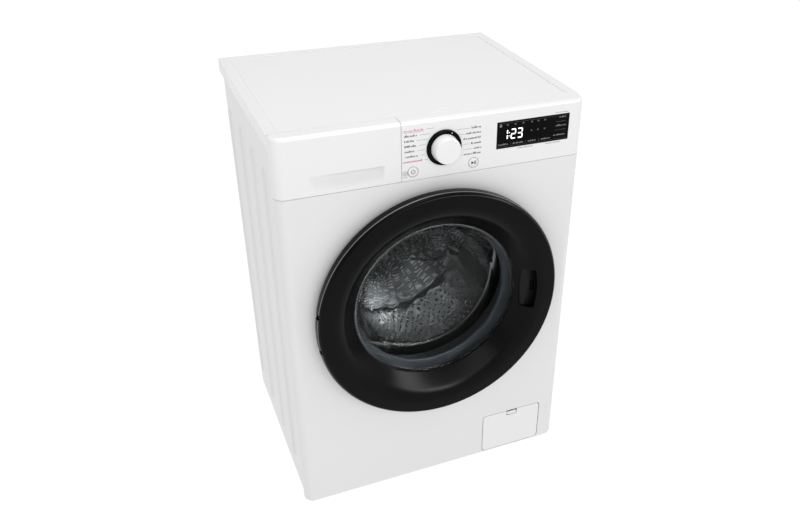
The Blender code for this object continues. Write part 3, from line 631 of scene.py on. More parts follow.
def worktop():
    """Plastic rim with a recess for the laminated board."""
    low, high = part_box("worktop_rim")
    rim = prism("worktop_rim_moulding", plan_of("worktop_rim", 0.0016), upright, low.z, high.z, PLASTIC)
    through = rounded_rectangle((-0.2700, 0.0460), (0.2700, 0.4470), 0.004, 4)
    cut(rim, prism("recess", plan_of("worktop_board", 0.004, 0.0001), upright, 0.8330, 0.86),
        prism("through", through, upright, 0.80, 0.84))
    finished(soften(rim, 0.0013, 3), "cabinet", ["worktop_rim"])
    low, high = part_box("worktop_board")
    board = prism("worktop_board_panel", plan_of("worktop_board", 0.0037), upright, low.z, high.z, LAMINATE)
    finished(soften(board, 0.0014, 3), "cabinet", ["worktop_board"])


def round_top(made, z, width, steps=7):
    """Roll the outer top edge of a block over, along its front and its rounded corner."""
    mesh_data = bmesh.new()
    mesh_data.from_mesh(made.data)
    chosen = []
    for edge in mesh_data.edges:
        a, b = (v.co for v in edge.verts)
        if abs(a.z - z) < 1e-6 and abs(b.z - z) < 1e-6:
            outer = max(abs(a.x), abs(b.x)) > HALF - 0.0001
            in_front = max(a.y, b.y) - FRONT < 0.0001
            corner = max(a.y, b.y) - FRONT <= CORNER + 1e-5
            if in_front or corner or (outer and abs(abs(a.x) - abs(b.x)) < 1e-6):
                chosen.append(edge)
    bmesh.ops.bevel(mesh_data, geom=chosen, offset=width, offset_type="OFFSET", segments=steps, profile=0.5,
                    affect="EDGES", clamp_overlap=True)
    mesh_data.to_mesh(made.data)
    mesh_data.free()


# ---- Controls ------------------------------------------------------------------------------------
def control_panel():
    """Hollow fascia with the right front corner, and holes for the window, the dial and the buttons."""
    low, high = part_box("control_panel")
    left, strip, wall = low.x, high.y - FRONT, 0.003
    outline = [(HALF, strip), (left, strip), (left, 0)] + list(reversed(corner_plan(1)))
    made = prism("control_panel_moulding", outline, upright, low.z, high.z, PLASTIC)
    round_top(made, high.z, TOP_ROUND)
    inside = [(HALF - wall, strip + 0.01), (left + wall, strip + 0.01), (left + wall, wall)]
    inside += list(reversed(corner_plan(1, wall)))
    through = (-0.01, 0.01)
    rim_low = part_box("worktop_rim")[0].z
    tools = [prism("hollow", inside, upright, low.z - 0.01, high.z - 0.0095),
             box("side_notch", (HALF - 0.01, HALF + 0.01), (CORNER + 0.0015, 0.05), (0.70, rim_low)),
             disc("dial_hole", about_y(*DIAL), 0.012, *through),
             prism("window_hole", outline_of("display_window", 0.0012, 4, 0.0003), facing, *through)]
    for name in ("power_button", "start_button"):
        tools.append(disc("button_hole", about_y(*middle_of(name)), BUTTON_RADIUS + 0.0004, *through))
    cut(made, *tools)
    finished(soften(made, 0.0004, 2), "cabinet", ["control_panel"])


def dial():
    """White knob in a black ring with one white dot."""
    skirt = [(0.006, -0.0035), (0.0318, -0.0037), (0.0334, -0.0030), (0.0340, -0.0005), (0.006, -0.0005)]
    ring = turned("dial_skirt", rounded(skirt, [0, 0.0006, 0.0006, 0.0002, 0]), about_y(*DIAL), BLACK_GLOSS,
                  SMALL_ROUND * 2)
    finished(ring, "dial", ["dial_ring"])
    spot = about_y(*on_circle(DIAL, 0.0297, math.radians(62)))
    profile = [(0, -0.00385), (0.0009, -0.00385), (0.0012, -0.0034), (0, -0.0034)]
    finished(turned("dial_mark", profile, spot, DOT, 20), "dial")
    profile = [(0, -0.0240), (0.0150, -0.02385), (0.0226, -0.0235), (0.0243, -0.0222), (0.0248, -0.0195),
               (0.0262, -0.0040), (0.0050, -0.0040), (0.0050, 0.0110), (0, 0.0110)]
    radii = [0, 0, 0.0012, 0.0012, 0.002, 0.0004, 0, 0, 0]
    knob = turned("dial_cap", rounded(profile, radii), about_y(*DIAL), PLASTIC, SMALL_ROUND * 2, 24)
    finished(knob, "dial", ["dial_knob"])


def ring_mark(name, x, z, radius, width, depth, look):
    """Thin printed ring."""
    inner, outer = radius - width / 2, radius + width / 2
    profile = [(inner, depth), (outer, depth), (outer, depth + PRINT), (inner, depth + PRINT)]
    return turned(name, profile, about_y(x, z), look, SMALL_ROUND)


def bar_mark(x, z, length, height, depth, look, turn=0.0):
    """Printed stroke with rounded ends, centred on (x, z)."""
    radius = min(length, height) * 0.45
    outline = rounded_rectangle((-length / 2, -height / 2), (length / 2, height / 2), radius, 3)
    c, s = math.cos(turn), math.sin(turn)
    outline = [(x + a * c - b * s, z + a * s + b * c) for a, b in outline]
    return prism("stroke", outline, facing, depth, depth + PRINT, look)


def arc_mark(x, z, radius, width, start, end, depth, look):
    """Printed arc, from start to end in degrees."""
    outline = arc((x, z), radius + width / 2, start, end, 24)
    outline += arc((x, z), radius - width / 2, end, start, 24)
    return prism("stroke", outline, facing, depth, depth + PRINT, look)


def buttons():
    """Two round caps on stems, each with its symbol and a thin ring around it."""
    ink = -0.00100
    r = BUTTON_RADIUS
    profile = [(0, -0.00075), (0.0060, -0.00085), (0.0084, -0.0009), (r, -0.0002), (r, 0.0025),
               (0.003, 0.0025), (0.003, 0.0095), (0, 0.0095)]
    profile = rounded(profile, [0, 0, 0.0005, 0.0004, 0, 0, 0, 0])
    for name in ("power_button", "start_button"):
        x, z = middle_of(name)
        cap = turned(name + "_cap", profile, about_y(x, z), PLASTIC, SMALL_ROUND)
        finished(cap, name, [name])
        if name == "power_button":
            marks = [arc_mark(x, z, 0.0036, 0.0010, -235, 55, ink, INK),
                     bar_mark(x, z + 0.0030, 0.0010, 0.0040, ink, INK)]
        else:
            arrow = [(x - 0.0044, z - 0.0034), (x + 0.0008, z), (x - 0.0044, z + 0.0034)]
            marks = [prism("arrow", arrow, facing, ink, ink + PRINT, INK),
                     bar_mark(x + 0.0020, z, 0.0013, 0.0068, ink, INK),
                     bar_mark(x + 0.0044, z, 0.0013, 0.0068, ink, INK)]
        finished(merged(name + "_symbol", marks), name)
        outline = ring_mark(name + "_surround", x, z, r + 0.0010, 0.0005, -PRINT, PALE_INK)
        finished(outline, "cabinet")


def words(left, right, z, height, depth, look):
    """A row of short strokes that stands for a printed label, with no lettering in it."""
    marks, x = [], left
    while x < right - height * 0.3:
        length = min(random.uniform(0.22, 0.42) * height, right - x)
        tall = height * random.choice((0.62, 0.68, 0.68, 1.0))
        marks.append(bar_mark(x + length / 2, z + (tall - height * 0.7) / 2, length, tall, depth, look))
        x += length + height * random.choice((0.17, 0.17, 0.17, 0.17, 0.45))
    return marks


def leader(start, end, z, depth):
    """Thin printed line from a label towards the dial."""
    return bar_mark((start + end) / 2, z, end - start, 0.0005, depth, PALE_INK)


def programme_labels():
    """Rows of labels on both sides of the dial, and the captions around the display."""
    ink, tall = -PRINT, 0.0043
    rows_left = [(-0.0655, -0.0286, (-0.0250, -0.0085), ROSE_INK),
                 (-0.0655, -0.0404, (-0.0370, -0.0170), INK),
                 (-0.0655, -0.0470, (-0.0427, -0.0225), INK), (-0.0655, -0.0420, (-0.0382, -0.0262), INK),
                 (-0.0650, -0.0440, (-0.0408, -0.0275), INK), (-0.0645, -0.0375, (-0.0345, -0.0262), INK),
                 (-0.0670, -0.0309, (-0.0279, -0.0215), ROSE_INK)]
    for k, (left, right, line, look) in enumerate(rows_left):
        z = 0.8330 - 0.00967 * k
        marks = words(left, right, z, tall, ink, look)
        marks.append(leader(*line, z, ink))
        if k == 0:
            marks.append(bar_mark((left + right) / 2, z - 0.0030, right - left, 0.0007, ink, look))
        if look is ROSE_INK:
            marks.append(bar_mark(-0.0680, z - 0.0003, 0.0006, 0.0036, ink, look))
        finished(merged(f"programme_left_{k + 1}", marks), "cabinet")
    rows_right = [(0.0635, (0.0348, 0.0606)), (0.0525, (0.0392, 0.0503)), (0.0480, None),
                  (0.0635, (0.0473, 0.0606)), (0.0687, (0.0480, 0.0658)), (0.0495, (0.0422, 0.0473))]
    for k, (left, line) in enumerate(rows_right):
        z = 0.8230 - 0.0100 * k
        marks = words(left, 0.0835, z, tall, ink, INK)
        if line:
            marks.append(leader(*line, z, ink))
        finished(merged(f"programme_right_{k + 1}", marks), "cabinet")
    small = [ring_mark("ring", -0.0645, 0.7535, 0.0042, 0.0008, ink, PALE_INK),
             bar_mark(-0.0645, 0.7535, 0.0040, 0.0011, ink, PALE_INK, 0.6),
             bar_mark(-0.0642, 0.7533, 0.0030, 0.0010, ink, PALE_INK, -0.7)]
    small += words(-0.0688, -0.0600, 0.7462, 0.0014, ink, PALE_INK)
    finished(merged("small_symbol", small), "cabinet")
    captions = ((0.2350, 0.2640, 0.8290), (0.1590, 0.1910, 0.7700), (0.2180, 0.2500, 0.7700))
    for k, (left, right, z) in enumerate(captions):
        caption = merged(f"display_caption_{k + 1}", words(left, right, z, 0.0022, ink, PALE_INK))
        finished(caption, "cabinet")


SEGMENTS = {"1": "bc", "2": "abged", "3": "abgcd"}


def digit(character, left, width, low, height, stroke, depth):
    """Seven-segment figure."""
    right, top, half = left + width, low + height, height / 2
    centre = left + width / 2
    long, tall = width - stroke * 1.15, half - stroke * 1.15
    places = {"a": (centre, top - stroke / 2, long, stroke), "g": (centre, low + half, long, stroke),
              "d": (centre, low + stroke / 2, long, stroke),
              "b": (right - stroke / 2, low + half * 1.5, stroke, tall),
              "c": (right - stroke / 2, low + half * 0.5, stroke, tall),
              "f": (left + stroke / 2, low + half * 1.5, stroke, tall),
              "e": (left + stroke / 2, low + half * 0.5, stroke, tall)}
    return [bar_mark(*places[s], depth, DIGITS) for s in SEGMENTS[character]]


def display():
    """Black window with lit figures, dim icons and rows of small marks."""
    low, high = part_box("display_window")
    window = prism("display_glass", outline_of("display_window", 0.0010, 4), facing,
                   *depths_of("display_window"), BLACK_GLOSS)
    finished(soften(window, 0.0004, 2), "cabinet", ["display_window"])
    ink = low.y - FRONT - 0.00010
    base, tall, stroke = 0.7900, 0.0200, 0.0024
    marks = []
    for character, left, width in (("1", 0.1345, 0.0033), ("2", 0.1433, 0.0112), ("3", 0.1570, 0.0112)):
        marks += digit(character, left, width, base, tall, stroke, ink)
    marks += [bar_mark(0.1404, base + tall * share, 0.0019, 0.0019, ink, DIGITS) for share in (0.34, 0.66)]
    finished(merged("display_digits", marks), "cabinet")
    icons = [bar_mark(0.1225, 0.8175, 0.0050, 0.0042, ink, SOFT_INK),
             arc_mark(0.1225, 0.8195, 0.0018, 0.0008, 0, 180, ink, SOFT_INK)]
    for x in (0.1365, 0.1525, 0.1685, 0.1865, 0.2000, 0.2140):
        icons.append(bar_mark(x, 0.8185, 0.0040, 0.0032, ink, DIM_INK))
    for x in (0.1865, 0.2000, 0.2140):
        icons.append(bar_mark(x, 0.8015, 0.0034, 0.0030, ink, DIM_INK))
    finished(merged("display_icons", icons), "cabinet")
    rows = []
    for z, left, look in ((0.8195, 0.2440, SOFT_INK), (0.8110, 0.2375, DIM_INK), (0.8030, 0.2380, SOFT_INK),
                          (0.7945, 0.2375, DIM_INK), (0.7845, 0.2340, SOFT_INK)):
        rows += words(left, 0.2600, z, 0.0034 if look is SOFT_INK else 0.0012, ink, look)
    for left, right in ((0.1185, 0.1405), (0.1485, 0.1700), (0.1800, 0.1990), (0.2080, 0.2280)):
        rows += words(left, right, 0.7808, 0.0034, ink, SOFT_INK)
    for x in (0.1445, 0.1750, 0.2035):
        rows.append(bar_mark(x, 0.7808, 0.0005, 0.0050, ink, DIM_INK))
    finished(merged("display_rows", rows), "cabinet")
    frame_lines = [bar_mark((low.x + high.x) / 2, z, high.x - low.x - 0.006, 0.0003, ink, DIM_INK)
                   for z in (low.z + 0.0032, high.z - 0.0032)]
    finished(merged("display_frame_lines", frame_lines), "cabinet")


# ---- Drawer --------------------------------------------------------------------------------------
SCOOP_X = (-0.2480, -0.1005)
SCOOP_Z = (0.7432, 0.7745)
SCOOP_DEEP = 0.0145
COMPARTMENTS = ((-0.2715, -0.2150), (-0.2125, -0.1560), (-0.1535, -0.0865))


def in_scoop(point):
    """Whether a point is in the finger scoop; a small margin leaves out its rim."""
    x, depth, z = point.x, point.y - FRONT, point.z
    return (0.0002 < depth < SCOOP_DEEP + 0.0005 and SCOOP_X[0] + 0.0001 < x < SCOOP_X[1] - 0.0001
            and SCOOP_Z[0] + 0.0001 < z < SCOOP_Z[1] + 0.0001)


def drawer():
    """Front with the left corner and a finger scoop, and the tray with its compartments."""
    low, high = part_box("drawer_front")
    right, strip, slab = high.x, 0.0280, 0.0165
    rim_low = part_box("worktop_rim")[0].z
    outline = corner_plan(-1) + [(right, 0), (right, strip), (-HALF, strip)]
    made = prism("drawer_front_moulding", outline, upright, low.z, high.z, PLASTIC)
    round_top(made, high.z, TOP_ROUND)
    cut(made, box("hollow", (-0.2970, right + 0.01), (slab, 0.05), (0.70, 0.8380)),
        box("side_notch", (-0.31, -0.29), (CORNER + 0.0015, 0.05), (0.70, rim_low)), finger_scoop())
    # Faces in the scoop get the darker copy of the white plastic: painted shade in the hollow.
    made.data.materials.append(SCOOP_SHADE)
    for face in made.data.polygons:
        if in_scoop(face.center):
            face.material_index = 1
    soften(made, 0.0006, 2, 40)
    flat = made.modifiers.new("flat_faces", "WEIGHTED_NORMAL")
    flat.keep_sharp = True
    finished(made, "drawer", ["drawer_front"])
    tray_low, tray_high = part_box("drawer_tray")
    tray = box("drawer_tray_moulding", (tray_low.x, tray_high.x), depths_of("drawer_tray"),
               (tray_low.z, tray_high.z), PLASTIC)
    tools = []
    for left, end in COMPARTMENTS:
        outline = rounded_rectangle((left, 0.0193), (end, 0.2825), 0.004, 4)
        tools.append(prism("compartment", outline, upright, 0.7530, 0.83))
    cut(tray, *tools)
    finished(soften(tray, 0.0008, 2), "drawer", ["drawer_tray"])
    lines = []
    for left, end in COMPARTMENTS[::2]:
        for xs in ((left + 0.004, left + 0.0055), (end - 0.0055, end - 0.004)):
            lines.append(box("rib", xs, (0.0195, 0.2823), (0.7531, 0.7600), PLASTIC))
    finished(merged("drawer_tray_ribs", lines), "drawer")


def finger_scoop():
    """Smooth hollow under the drawer's middle: deep at the right, fading out to the left."""
    (left, right), (bottom, top) = SCOOP_X, SCOOP_Z
    columns, rows = 60, 22
    proud, crest = 0.0004, 0.93
    mesh_data = bmesh.new()
    grid = []
    for i in range(columns + 1):
        x = left + (right - left) * i / columns
        fade = eased((x - left) / 0.075) * eased((right - x) / 0.0140)
        line = []
        for j in range(rows + 1):
            share = j / rows
            z = bottom + (top - bottom) * share
            curve = share ** 1.05
            if share >= crest:
                curve *= math.sqrt(max(0.0, 1 - ((share - crest) / 0.07) ** 2))
            depth = -proud + (SCOOP_DEEP + proud) * fade * curve
            line.append(mesh_data.verts.new((x, at_depth(depth), z)))
        grid.append(line)
    front = [[mesh_data.verts.new((v.co.x, at_depth(-0.006), v.co.z)) for v in line] for line in grid]
    for i in range(columns):
        for j in range(rows):
            mesh_data.faces.new((grid[i][j], grid[i + 1][j], grid[i + 1][j + 1], grid[i][j + 1]))
            mesh_data.faces.new((front[i][j], front[i][j + 1], front[i + 1][j + 1], front[i + 1][j]))
    for i in range(columns):
        for j in (0, rows):
            mesh_data.faces.new((grid[i][j], front[i][j], front[i + 1][j], grid[i + 1][j]))
    for j in range(rows):
        for i in (0, columns):
            mesh_data.faces.new((grid[i][j], grid[i][j + 1], front[i][j + 1], front[i][j]))
    return to_object("finger_scoop", mesh_data, None)


# ---- Door ----------------------------------------------------------------------------------------
def hinge_clearance(left):
    """Room for the hinge arm, from left inwards, and for the two lugs."""
    tools = [box("arm_pocket", (left, -0.2045), (-0.0235, 0.01), (AXIS_Z - 0.0360, AXIS_Z + 0.0360))]
    for middle in LUGS:
        heights = (middle - 0.0055, middle + 0.0055)
        tools.append(box("lug_notch", (-0.2600, -0.2340), (-0.0290, 0.01), heights))
    return tools


def door_ring():
    """Outer ring, its inner side sloping back to the glass, with a finger pocket."""
    profile = [(0.2527, -0.0128), (0.2527, -0.0236), (0.2522, -0.0246), (0.2504, -0.0247), (0.2503, -0.0272),
               (0.2500, -0.0298), (0.2466, -DOOR_PROUD + 0.0006), (0.2085, -DOOR_PROUD),
               (0.1715, 0.0030), (0.1760, 0.0030), (0.1915, -0.0128)]
    radii = [0.0004, 0.0006, 0.0002, 0.0002, 0.0002, 0.0020, 0.0022, 0.0186, 0.0006, 0, 0]
    ring = turned("door_ring_moulding", rounded(profile, radii, 10), ON_AXIS, BLACK, ROUND, 26)
    pocket = rounded_rectangle((0.1790, AXIS_Z - 0.045), (0.2200, AXIS_Z + 0.045), 0.006)
    cut(ring, prism("finger_pocket", pocket, facing, -0.0300, 0.01), *hinge_clearance(-0.2455))
    finished(soften(ring, 0.0005, 2, 40), "door", ["door_outer_ring"])


def door_frame():
    """Inner frame that traps the glass, and the screws in its face."""
    profile = [(0.1922, -0.0125), (0.1772, 0.0028), (0.1772, 0.0078), (0.1700, 0.0078), (0.1700, 0.0118),
               (0.1835, 0.0118), (0.1835, -0.0030), (0.2480, -0.0030), (0.2515, -0.0125)]
    radii = [0, 0, 0, 0.0006, 0.0012, 0.0015, 0.0015, 0.0030, 0.0006]
    shell = turned("door_frame_moulding", rounded(profile, radii), ON_AXIS, DARK_TRIM, ROUND, 26)
    slot = rounded_rectangle((0.2010, 0.4530), (0.2125, 0.4750), 0.0015, 3)
    cut(shell, prism("hook_slot", slot, facing, -0.02, 0.01), *hinge_clearance(-0.26))
    finished(soften(shell, 0.0005, 2, 40), "door", ["door_inner_frame"])

    profile = [(0, -0.0010), (0.0038, -0.0010), (0.0038, -0.0022), (0.0034, -0.0031), (0, -0.0031)]
    screws = []
    for k in range(8):
        spot = on_circle((AXIS_X, AXIS_Z), 0.2330, math.radians(22.5 + 45 * k))
        screws.append(turned("screw", profile, about_y(*spot), ZINC, 24))
    made = merged("door_frame_screws", screws)
    made.data.transform(Matrix.Translation((0, 0.0002, 0)))
    finished(made, "door")


def door_bowl():
    """Glass bowl, uneven as pressed glass is: waves on both faces, a swirl and ripples on the back one."""
    crown = 0.1240
    stations = [crown * k / 48 for k in range(49)]
    inside = [(r, 0.0630 - 0.0018 * (r / crown) ** 2) for r in stations]
    inside += [(0.1310, 0.0600), (0.1372, 0.0562), (0.1420, 0.0500), (0.1480, 0.0400), (0.1540, 0.0300),
               (0.1600, 0.0190), (0.1655, 0.0080), (0.1692, 0.0034), (0.1768, 0.0034)]
    outside = [(0.1768, 0.0074), (0.1694, 0.0078), (0.1660, 0.0135), (0.1600, 0.0270), (0.1540, 0.0400),
               (0.1490, 0.0500), (0.1435, 0.0592), (0.1340, 0.0644), (0.1300, 0.0655)]
    outside += [(r, 0.0661 - 0.0005 * (r / crown) ** 2) for r in reversed(stations)]
    bowl = turned("door_glass_bowl", inside + outside, ON_AXIS, GLASS, ROUND, 75)
    edge, ripples = 0.1290, 0.092
    swirl_x, swirl_z, swirl_radius = 0.062, 0.070, 0.050
    for vertex in bowl.data.vertices:
        spot = vertex.co
        radius = math.hypot(spot.x - AXIS_X, spot.z - AXIS_Z)
        fade = min(1.0, max(0.0, (edge - radius) / 0.02))
        back = spot.y - FRONT > 0.0638
        wave = noise.noise(Vector((spot.x, 0.9 if back else 0.0, spot.z)) * (45.0 if back else 26.0))
        spot.y += fade * (0.00045 if back else 0.00025) * wave
        away = math.hypot(spot.x - AXIS_X - swirl_x, spot.z - AXIS_Z - swirl_z) / swirl_radius
        if back and away < 1.0:
            spot.y += 0.00045 * (1 - away) * math.cos(away * 3 * math.pi)
        if back and ripples < radius < edge:
            spot.y += 0.00016 * math.sin((radius - ripples) / 0.037 * 6 * math.pi)
    finished(bowl, "door", ["door_glass"])


def ring_highlight_line():
    """Thin grey satin ring let into the side of the door ring: a painted highlight along its edge."""
    profile = [(0.2505, -0.0262), (0.2512, -0.0270), (0.2519, -0.0262), (0.2522, -0.0252), (0.2505, -0.0248)]
    trim = turned("door_ring_painted_highlight", profile, ON_AXIS, RING_HIGHLIGHT, ROUND)
    cut(trim, *hinge_clearance(-0.2455))
    finished(trim, "door")


def hinge_barrels():
    """Knuckles around the pin that fill the ring's notches without meeting them as the door opens."""
    x, depth = middle_of("door_hinge_pin")[0], sum(depths_of("door_hinge_pin")) / 2
    outline = arc((x, depth), 0.0095, 90, 176, 10) + arc((x, depth), 0.0054, 182, 355, 14)
    outline.append((x + 0.0054, depth))
    half = 0.0043
    for k, middle in enumerate(LUGS):
        knuckle = prism(f"hinge_barrel_{k + 1}", outline, upright, middle - half, middle + half, BLACK)
        finished(soften(knuckle, 0.0004, 2), "cabinet")


def gasket():
    """Folded bellows between the cabinet and the tub."""
    middle = [(0.1930, 0.0035), (0.1872, 0.0060), (0.1865, 0.0220), (0.1606, 0.0305), (0.1660, 0.0365),
              (0.1870, 0.0410), (0.1812, 0.0500), (0.1812, 0.0620)]
    path = [p.to_2d() for p in smooth_path([(x, y, 0) for x, y in middle], 5)]
    path = [Vector((min(p.x, 0.1932), p.y)) for p in path]
    half, offsets = 0.0011, []
    for i, point in enumerate(path):
        ahead = (path[min(i + 1, len(path) - 1)] - path[max(i - 1, 0)]).normalized()
        offsets.append(half * Vector((-ahead.y, ahead.x)))
    profile = [tuple(p + o) for p, o in zip(path, offsets)]
    profile += [tuple(p - o) for p, o in reversed(list(zip(path, offsets)))]
    made = turned("gasket_bellows", profile, ON_AXIS, RUBBER, ROUND, 60)
    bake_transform(made)
    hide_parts("gasket")


# ---- Drum ----------------------------------------------------------------------------------------
def perforated(mesh_data, radius, low, high, around, along, hole, sink):
    """Wall of cells, staggered from row to row, each with a drawn hole. Returns the edge rings."""
    step, pitch = math.pi / around, (high - low) / along
    count = 2 * around
    lines = [[mesh_data.verts.new(ON_AXIS(radius * math.cos(step * k), radius * math.sin(step * k),
                                          low + pitch * j)) for k in range(count)] for j in range(along + 1)]
    for j in range(along):
        shift = j % 2
        for i in range(around):
            first = 2 * i + shift
            cell = [(first + k) % count for k in range(3)]
            outer = [lines[j][k] for k in cell] + [lines[j + 1][k] for k in reversed(cell)]
            turn, depth = step * (first + 1), low + pitch * (j + 0.5)
            rings = []
            for size, out in ((hole * 1.25, 0.0), (hole, -0.0007), (hole * 0.72, sink)):
                ring = []
                for t in (225, 270, 315, 45, 90, 135):
                    along_turn = turn + size * math.cos(math.radians(t)) / radius
                    r = radius + out
                    spot = ON_AXIS(r * math.cos(along_turn), r * math.sin(along_turn),
                                   depth + size * math.sin(math.radians(t)))
                    ring.append(mesh_data.verts.new(spot))
                rings.append(ring)
            # The raised rim of each hole gets the bright second material: a painted glint.
            for rim, (inner, edge) in enumerate(zip(rings, [outer] + rings)):
                for k in range(6):
                    n = (k + 1) % 6
                    mesh_data.faces.new((edge[k], edge[n], inner[n], inner[k])).material_index = rim == 1
    return lines[0], lines[-1]


def drum():
    """Perforated shell with a rolled front edge, and a back wall pressed into a three-armed star."""
    low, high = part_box("drum_shell")
    radius = high.x - 0.0014
    start, end = low.y - FRONT + 0.0014, high.y - FRONT - 0.0014
    around, along = 96, 16
    mesh_data = bmesh.new()
    near, far = perforated(mesh_data, radius, start + 0.014, end - 0.012, around, along, 0.0031, 0.0020)
    count = 2 * around

    def ring(r, depth):
        turns = [math.pi * k / around for k in range(count)]
        return [mesh_data.verts.new(ON_AXIS(r * math.cos(t), r * math.sin(t), depth)) for t in turns]

    def carry_on(current, stations):
        """More rings after the current one. Returns the last of them."""
        for r, depth in stations:
            following = ring(r, depth)
            bridge(mesh_data, current, following)
            current = following
        return current

    carry_on(near, ((radius, start + 0.006), (radius - 0.0018, start + 0.0018), (radius - 0.006, start),
                    (0.215, start), (0.208, start + 0.0018), (0.201, start), (0.186, start),
                    (0.180, start + 0.0018), (0.174, start), (0.168, start), (0.1644, start + 0.0020),
                    (0.1632, start + 0.0050), (0.1632, start + 0.0076)))
    current = carry_on(far, ((radius, end - 0.006), (radius - 0.0018, end - 0.0018), (radius - 0.006, end)))
    steps, spacing, star_depth, dimple_depth, plain_rows = 66, 0.0150, 0.0045, 0.0011, 2
    for k in range(1, steps):
        r = (radius - 0.006) * (1 - k / steps)
        line, shine = [], set()
        for n in range(count):
            turn = math.pi * n / around
            star = 0.5 + 0.5 * math.cos(3 * (turn - math.pi / 2))
            reach = 0.075 + 0.115 * star ** 2
            edge = eased((reach - r) / 0.012 + 0.5)
            row = round(r / spacing)
            dimple = math.cos(2 * math.pi * r / spacing)
            dimple *= math.cos((12 if row < 6 else 28) * turn + math.pi * (row % 2))
            pressed = star_depth * edge + dimple_depth * max(0.0, dimple) * (row > plain_rows)
            # Dimple crests and the star's slopes get the bright copy: painted glints.
            if row > plain_rows and dimple > 0.45 or 0.2 < edge < 0.8:
                shine.add(n)
            line.append(mesh_data.verts.new(ON_AXIS(r * math.cos(turn), r * math.sin(turn), end - pressed)))
        bridge(mesh_data, current, line, shine)
        current = line
    middle = mesh_data.verts.new(ON_AXIS(0, 0, end - star_depth))
    for k in range(count):
        mesh_data.faces.new((current[k], current[(k + 1) % count], middle))
    made = to_object("drum_shell_pressing", mesh_data, SHADED_STAINLESS, 35)
    # The second material is the bright copy that paints the glints.
    made.data.materials.append(GLINT_STAINLESS)
    thicken(made, 0.0006, 0, 35)
    finished(made, "drum", ["drum_shell"])
    lifters()


def lifters():
    """Three pressed ridges with rows of drain holes."""
    def place(across, towards, depth):
        return (AXIS_X - across, at_depth(depth), AXIS_Z + towards)

    flank = [(0.030, 0.2350), (0.024, 0.2200), (0.020, 0.2130), (0.012, 0.1935), (0.0085, 0.1900)]
    outline = [(-0.030, 0.2350)] + flank + [(-across, towards) for across, towards in flank[:0:-1]]
    master = prism("lifter_master", outline, place, 0.1100, 0.3350, SHADED_STAINLESS)
    holes = []
    for side in (-1, 1):
        for row, towards in enumerate((0.2040, 0.2120)):
            for k in range(11):
                depth = 0.135 + 0.0170 * k + 0.0085 * row
                across = side * (0.0122 + (towards - 0.1935) * 0.41)
                hole = bmesh.new()
                lean = Matrix.Rotation(side * math.radians(-67), 4, "Y")
                spot = Vector(place(across, towards, depth))
                bmesh.ops.create_cone(hole, cap_ends=True, segments=10, radius1=0.0022, radius2=0.0022,
                                      depth=0.006, matrix=Matrix.Translation(spot) @ lean)
                holes.append(to_object("hole", hole, None, 0))
    cut(master, merged("lifter_holes", holes))
    soften(master, 0.0035, 4, 28)
    settle(master)
    for k in range(3):
        turn = math.radians(120 * k)
        copy = linked(f"lifter_pressing_{k + 1}", master.data.copy())
        about = Matrix.Translation((AXIS_X, 0, AXIS_Z))
        copy.data.transform(about @ Matrix.Rotation(-turn, 4, "Y") @ about.inverted())
        finished(copy, "drum", [f"drum_lifter_{k + 1}"])
    bpy.data.objects.remove(master, do_unlink=True)


# ---- Suspension, hose ------------------------------------------------------------------------------
def springs():
    """Two coils with straight ends, from the spring angles to the tub."""
    for name, x in (("spring_left", -0.235), ("spring_right", 0.235)):
        low, high, coil, turns, steps = 0.6120, 0.7240, 0.0095, 11, 14
        y = at_depth(0.200)
        path = [(x, y, 0.5830), (x, y, low - 0.006)]
        for i in range(turns * steps + 1):
            angle = 2 * math.pi * i / steps
            path.append((x + coil * math.cos(angle), y + coil * math.sin(angle),
                         low + (high - low) * i / (turns * steps)))
        path += [(x, y, high + 0.005), (x, y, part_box(name)[1].z)]
        made = swept(name + "_coil", path, 0.0014, ZINC, 8)
        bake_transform(made)
        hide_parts(name)


def sump_hose():
    """Corrugated hose from the pump up to the tub."""
    route = [(0.1485, at_depth(0.1120), 0.0850), (0.1100, at_depth(0.1120), 0.0850),
             (0.0450, at_depth(0.1350), 0.1050), (0.0050, at_depth(0.1480), 0.1500),
             (0.0, at_depth(0.150), 0.2000)]
    made = swept("sump_hose_bellows", smooth_path(route, 10), 0.0145, BLACK_RUBBER, 24, 0.0022)
    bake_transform(made)
    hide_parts("sump_hose")


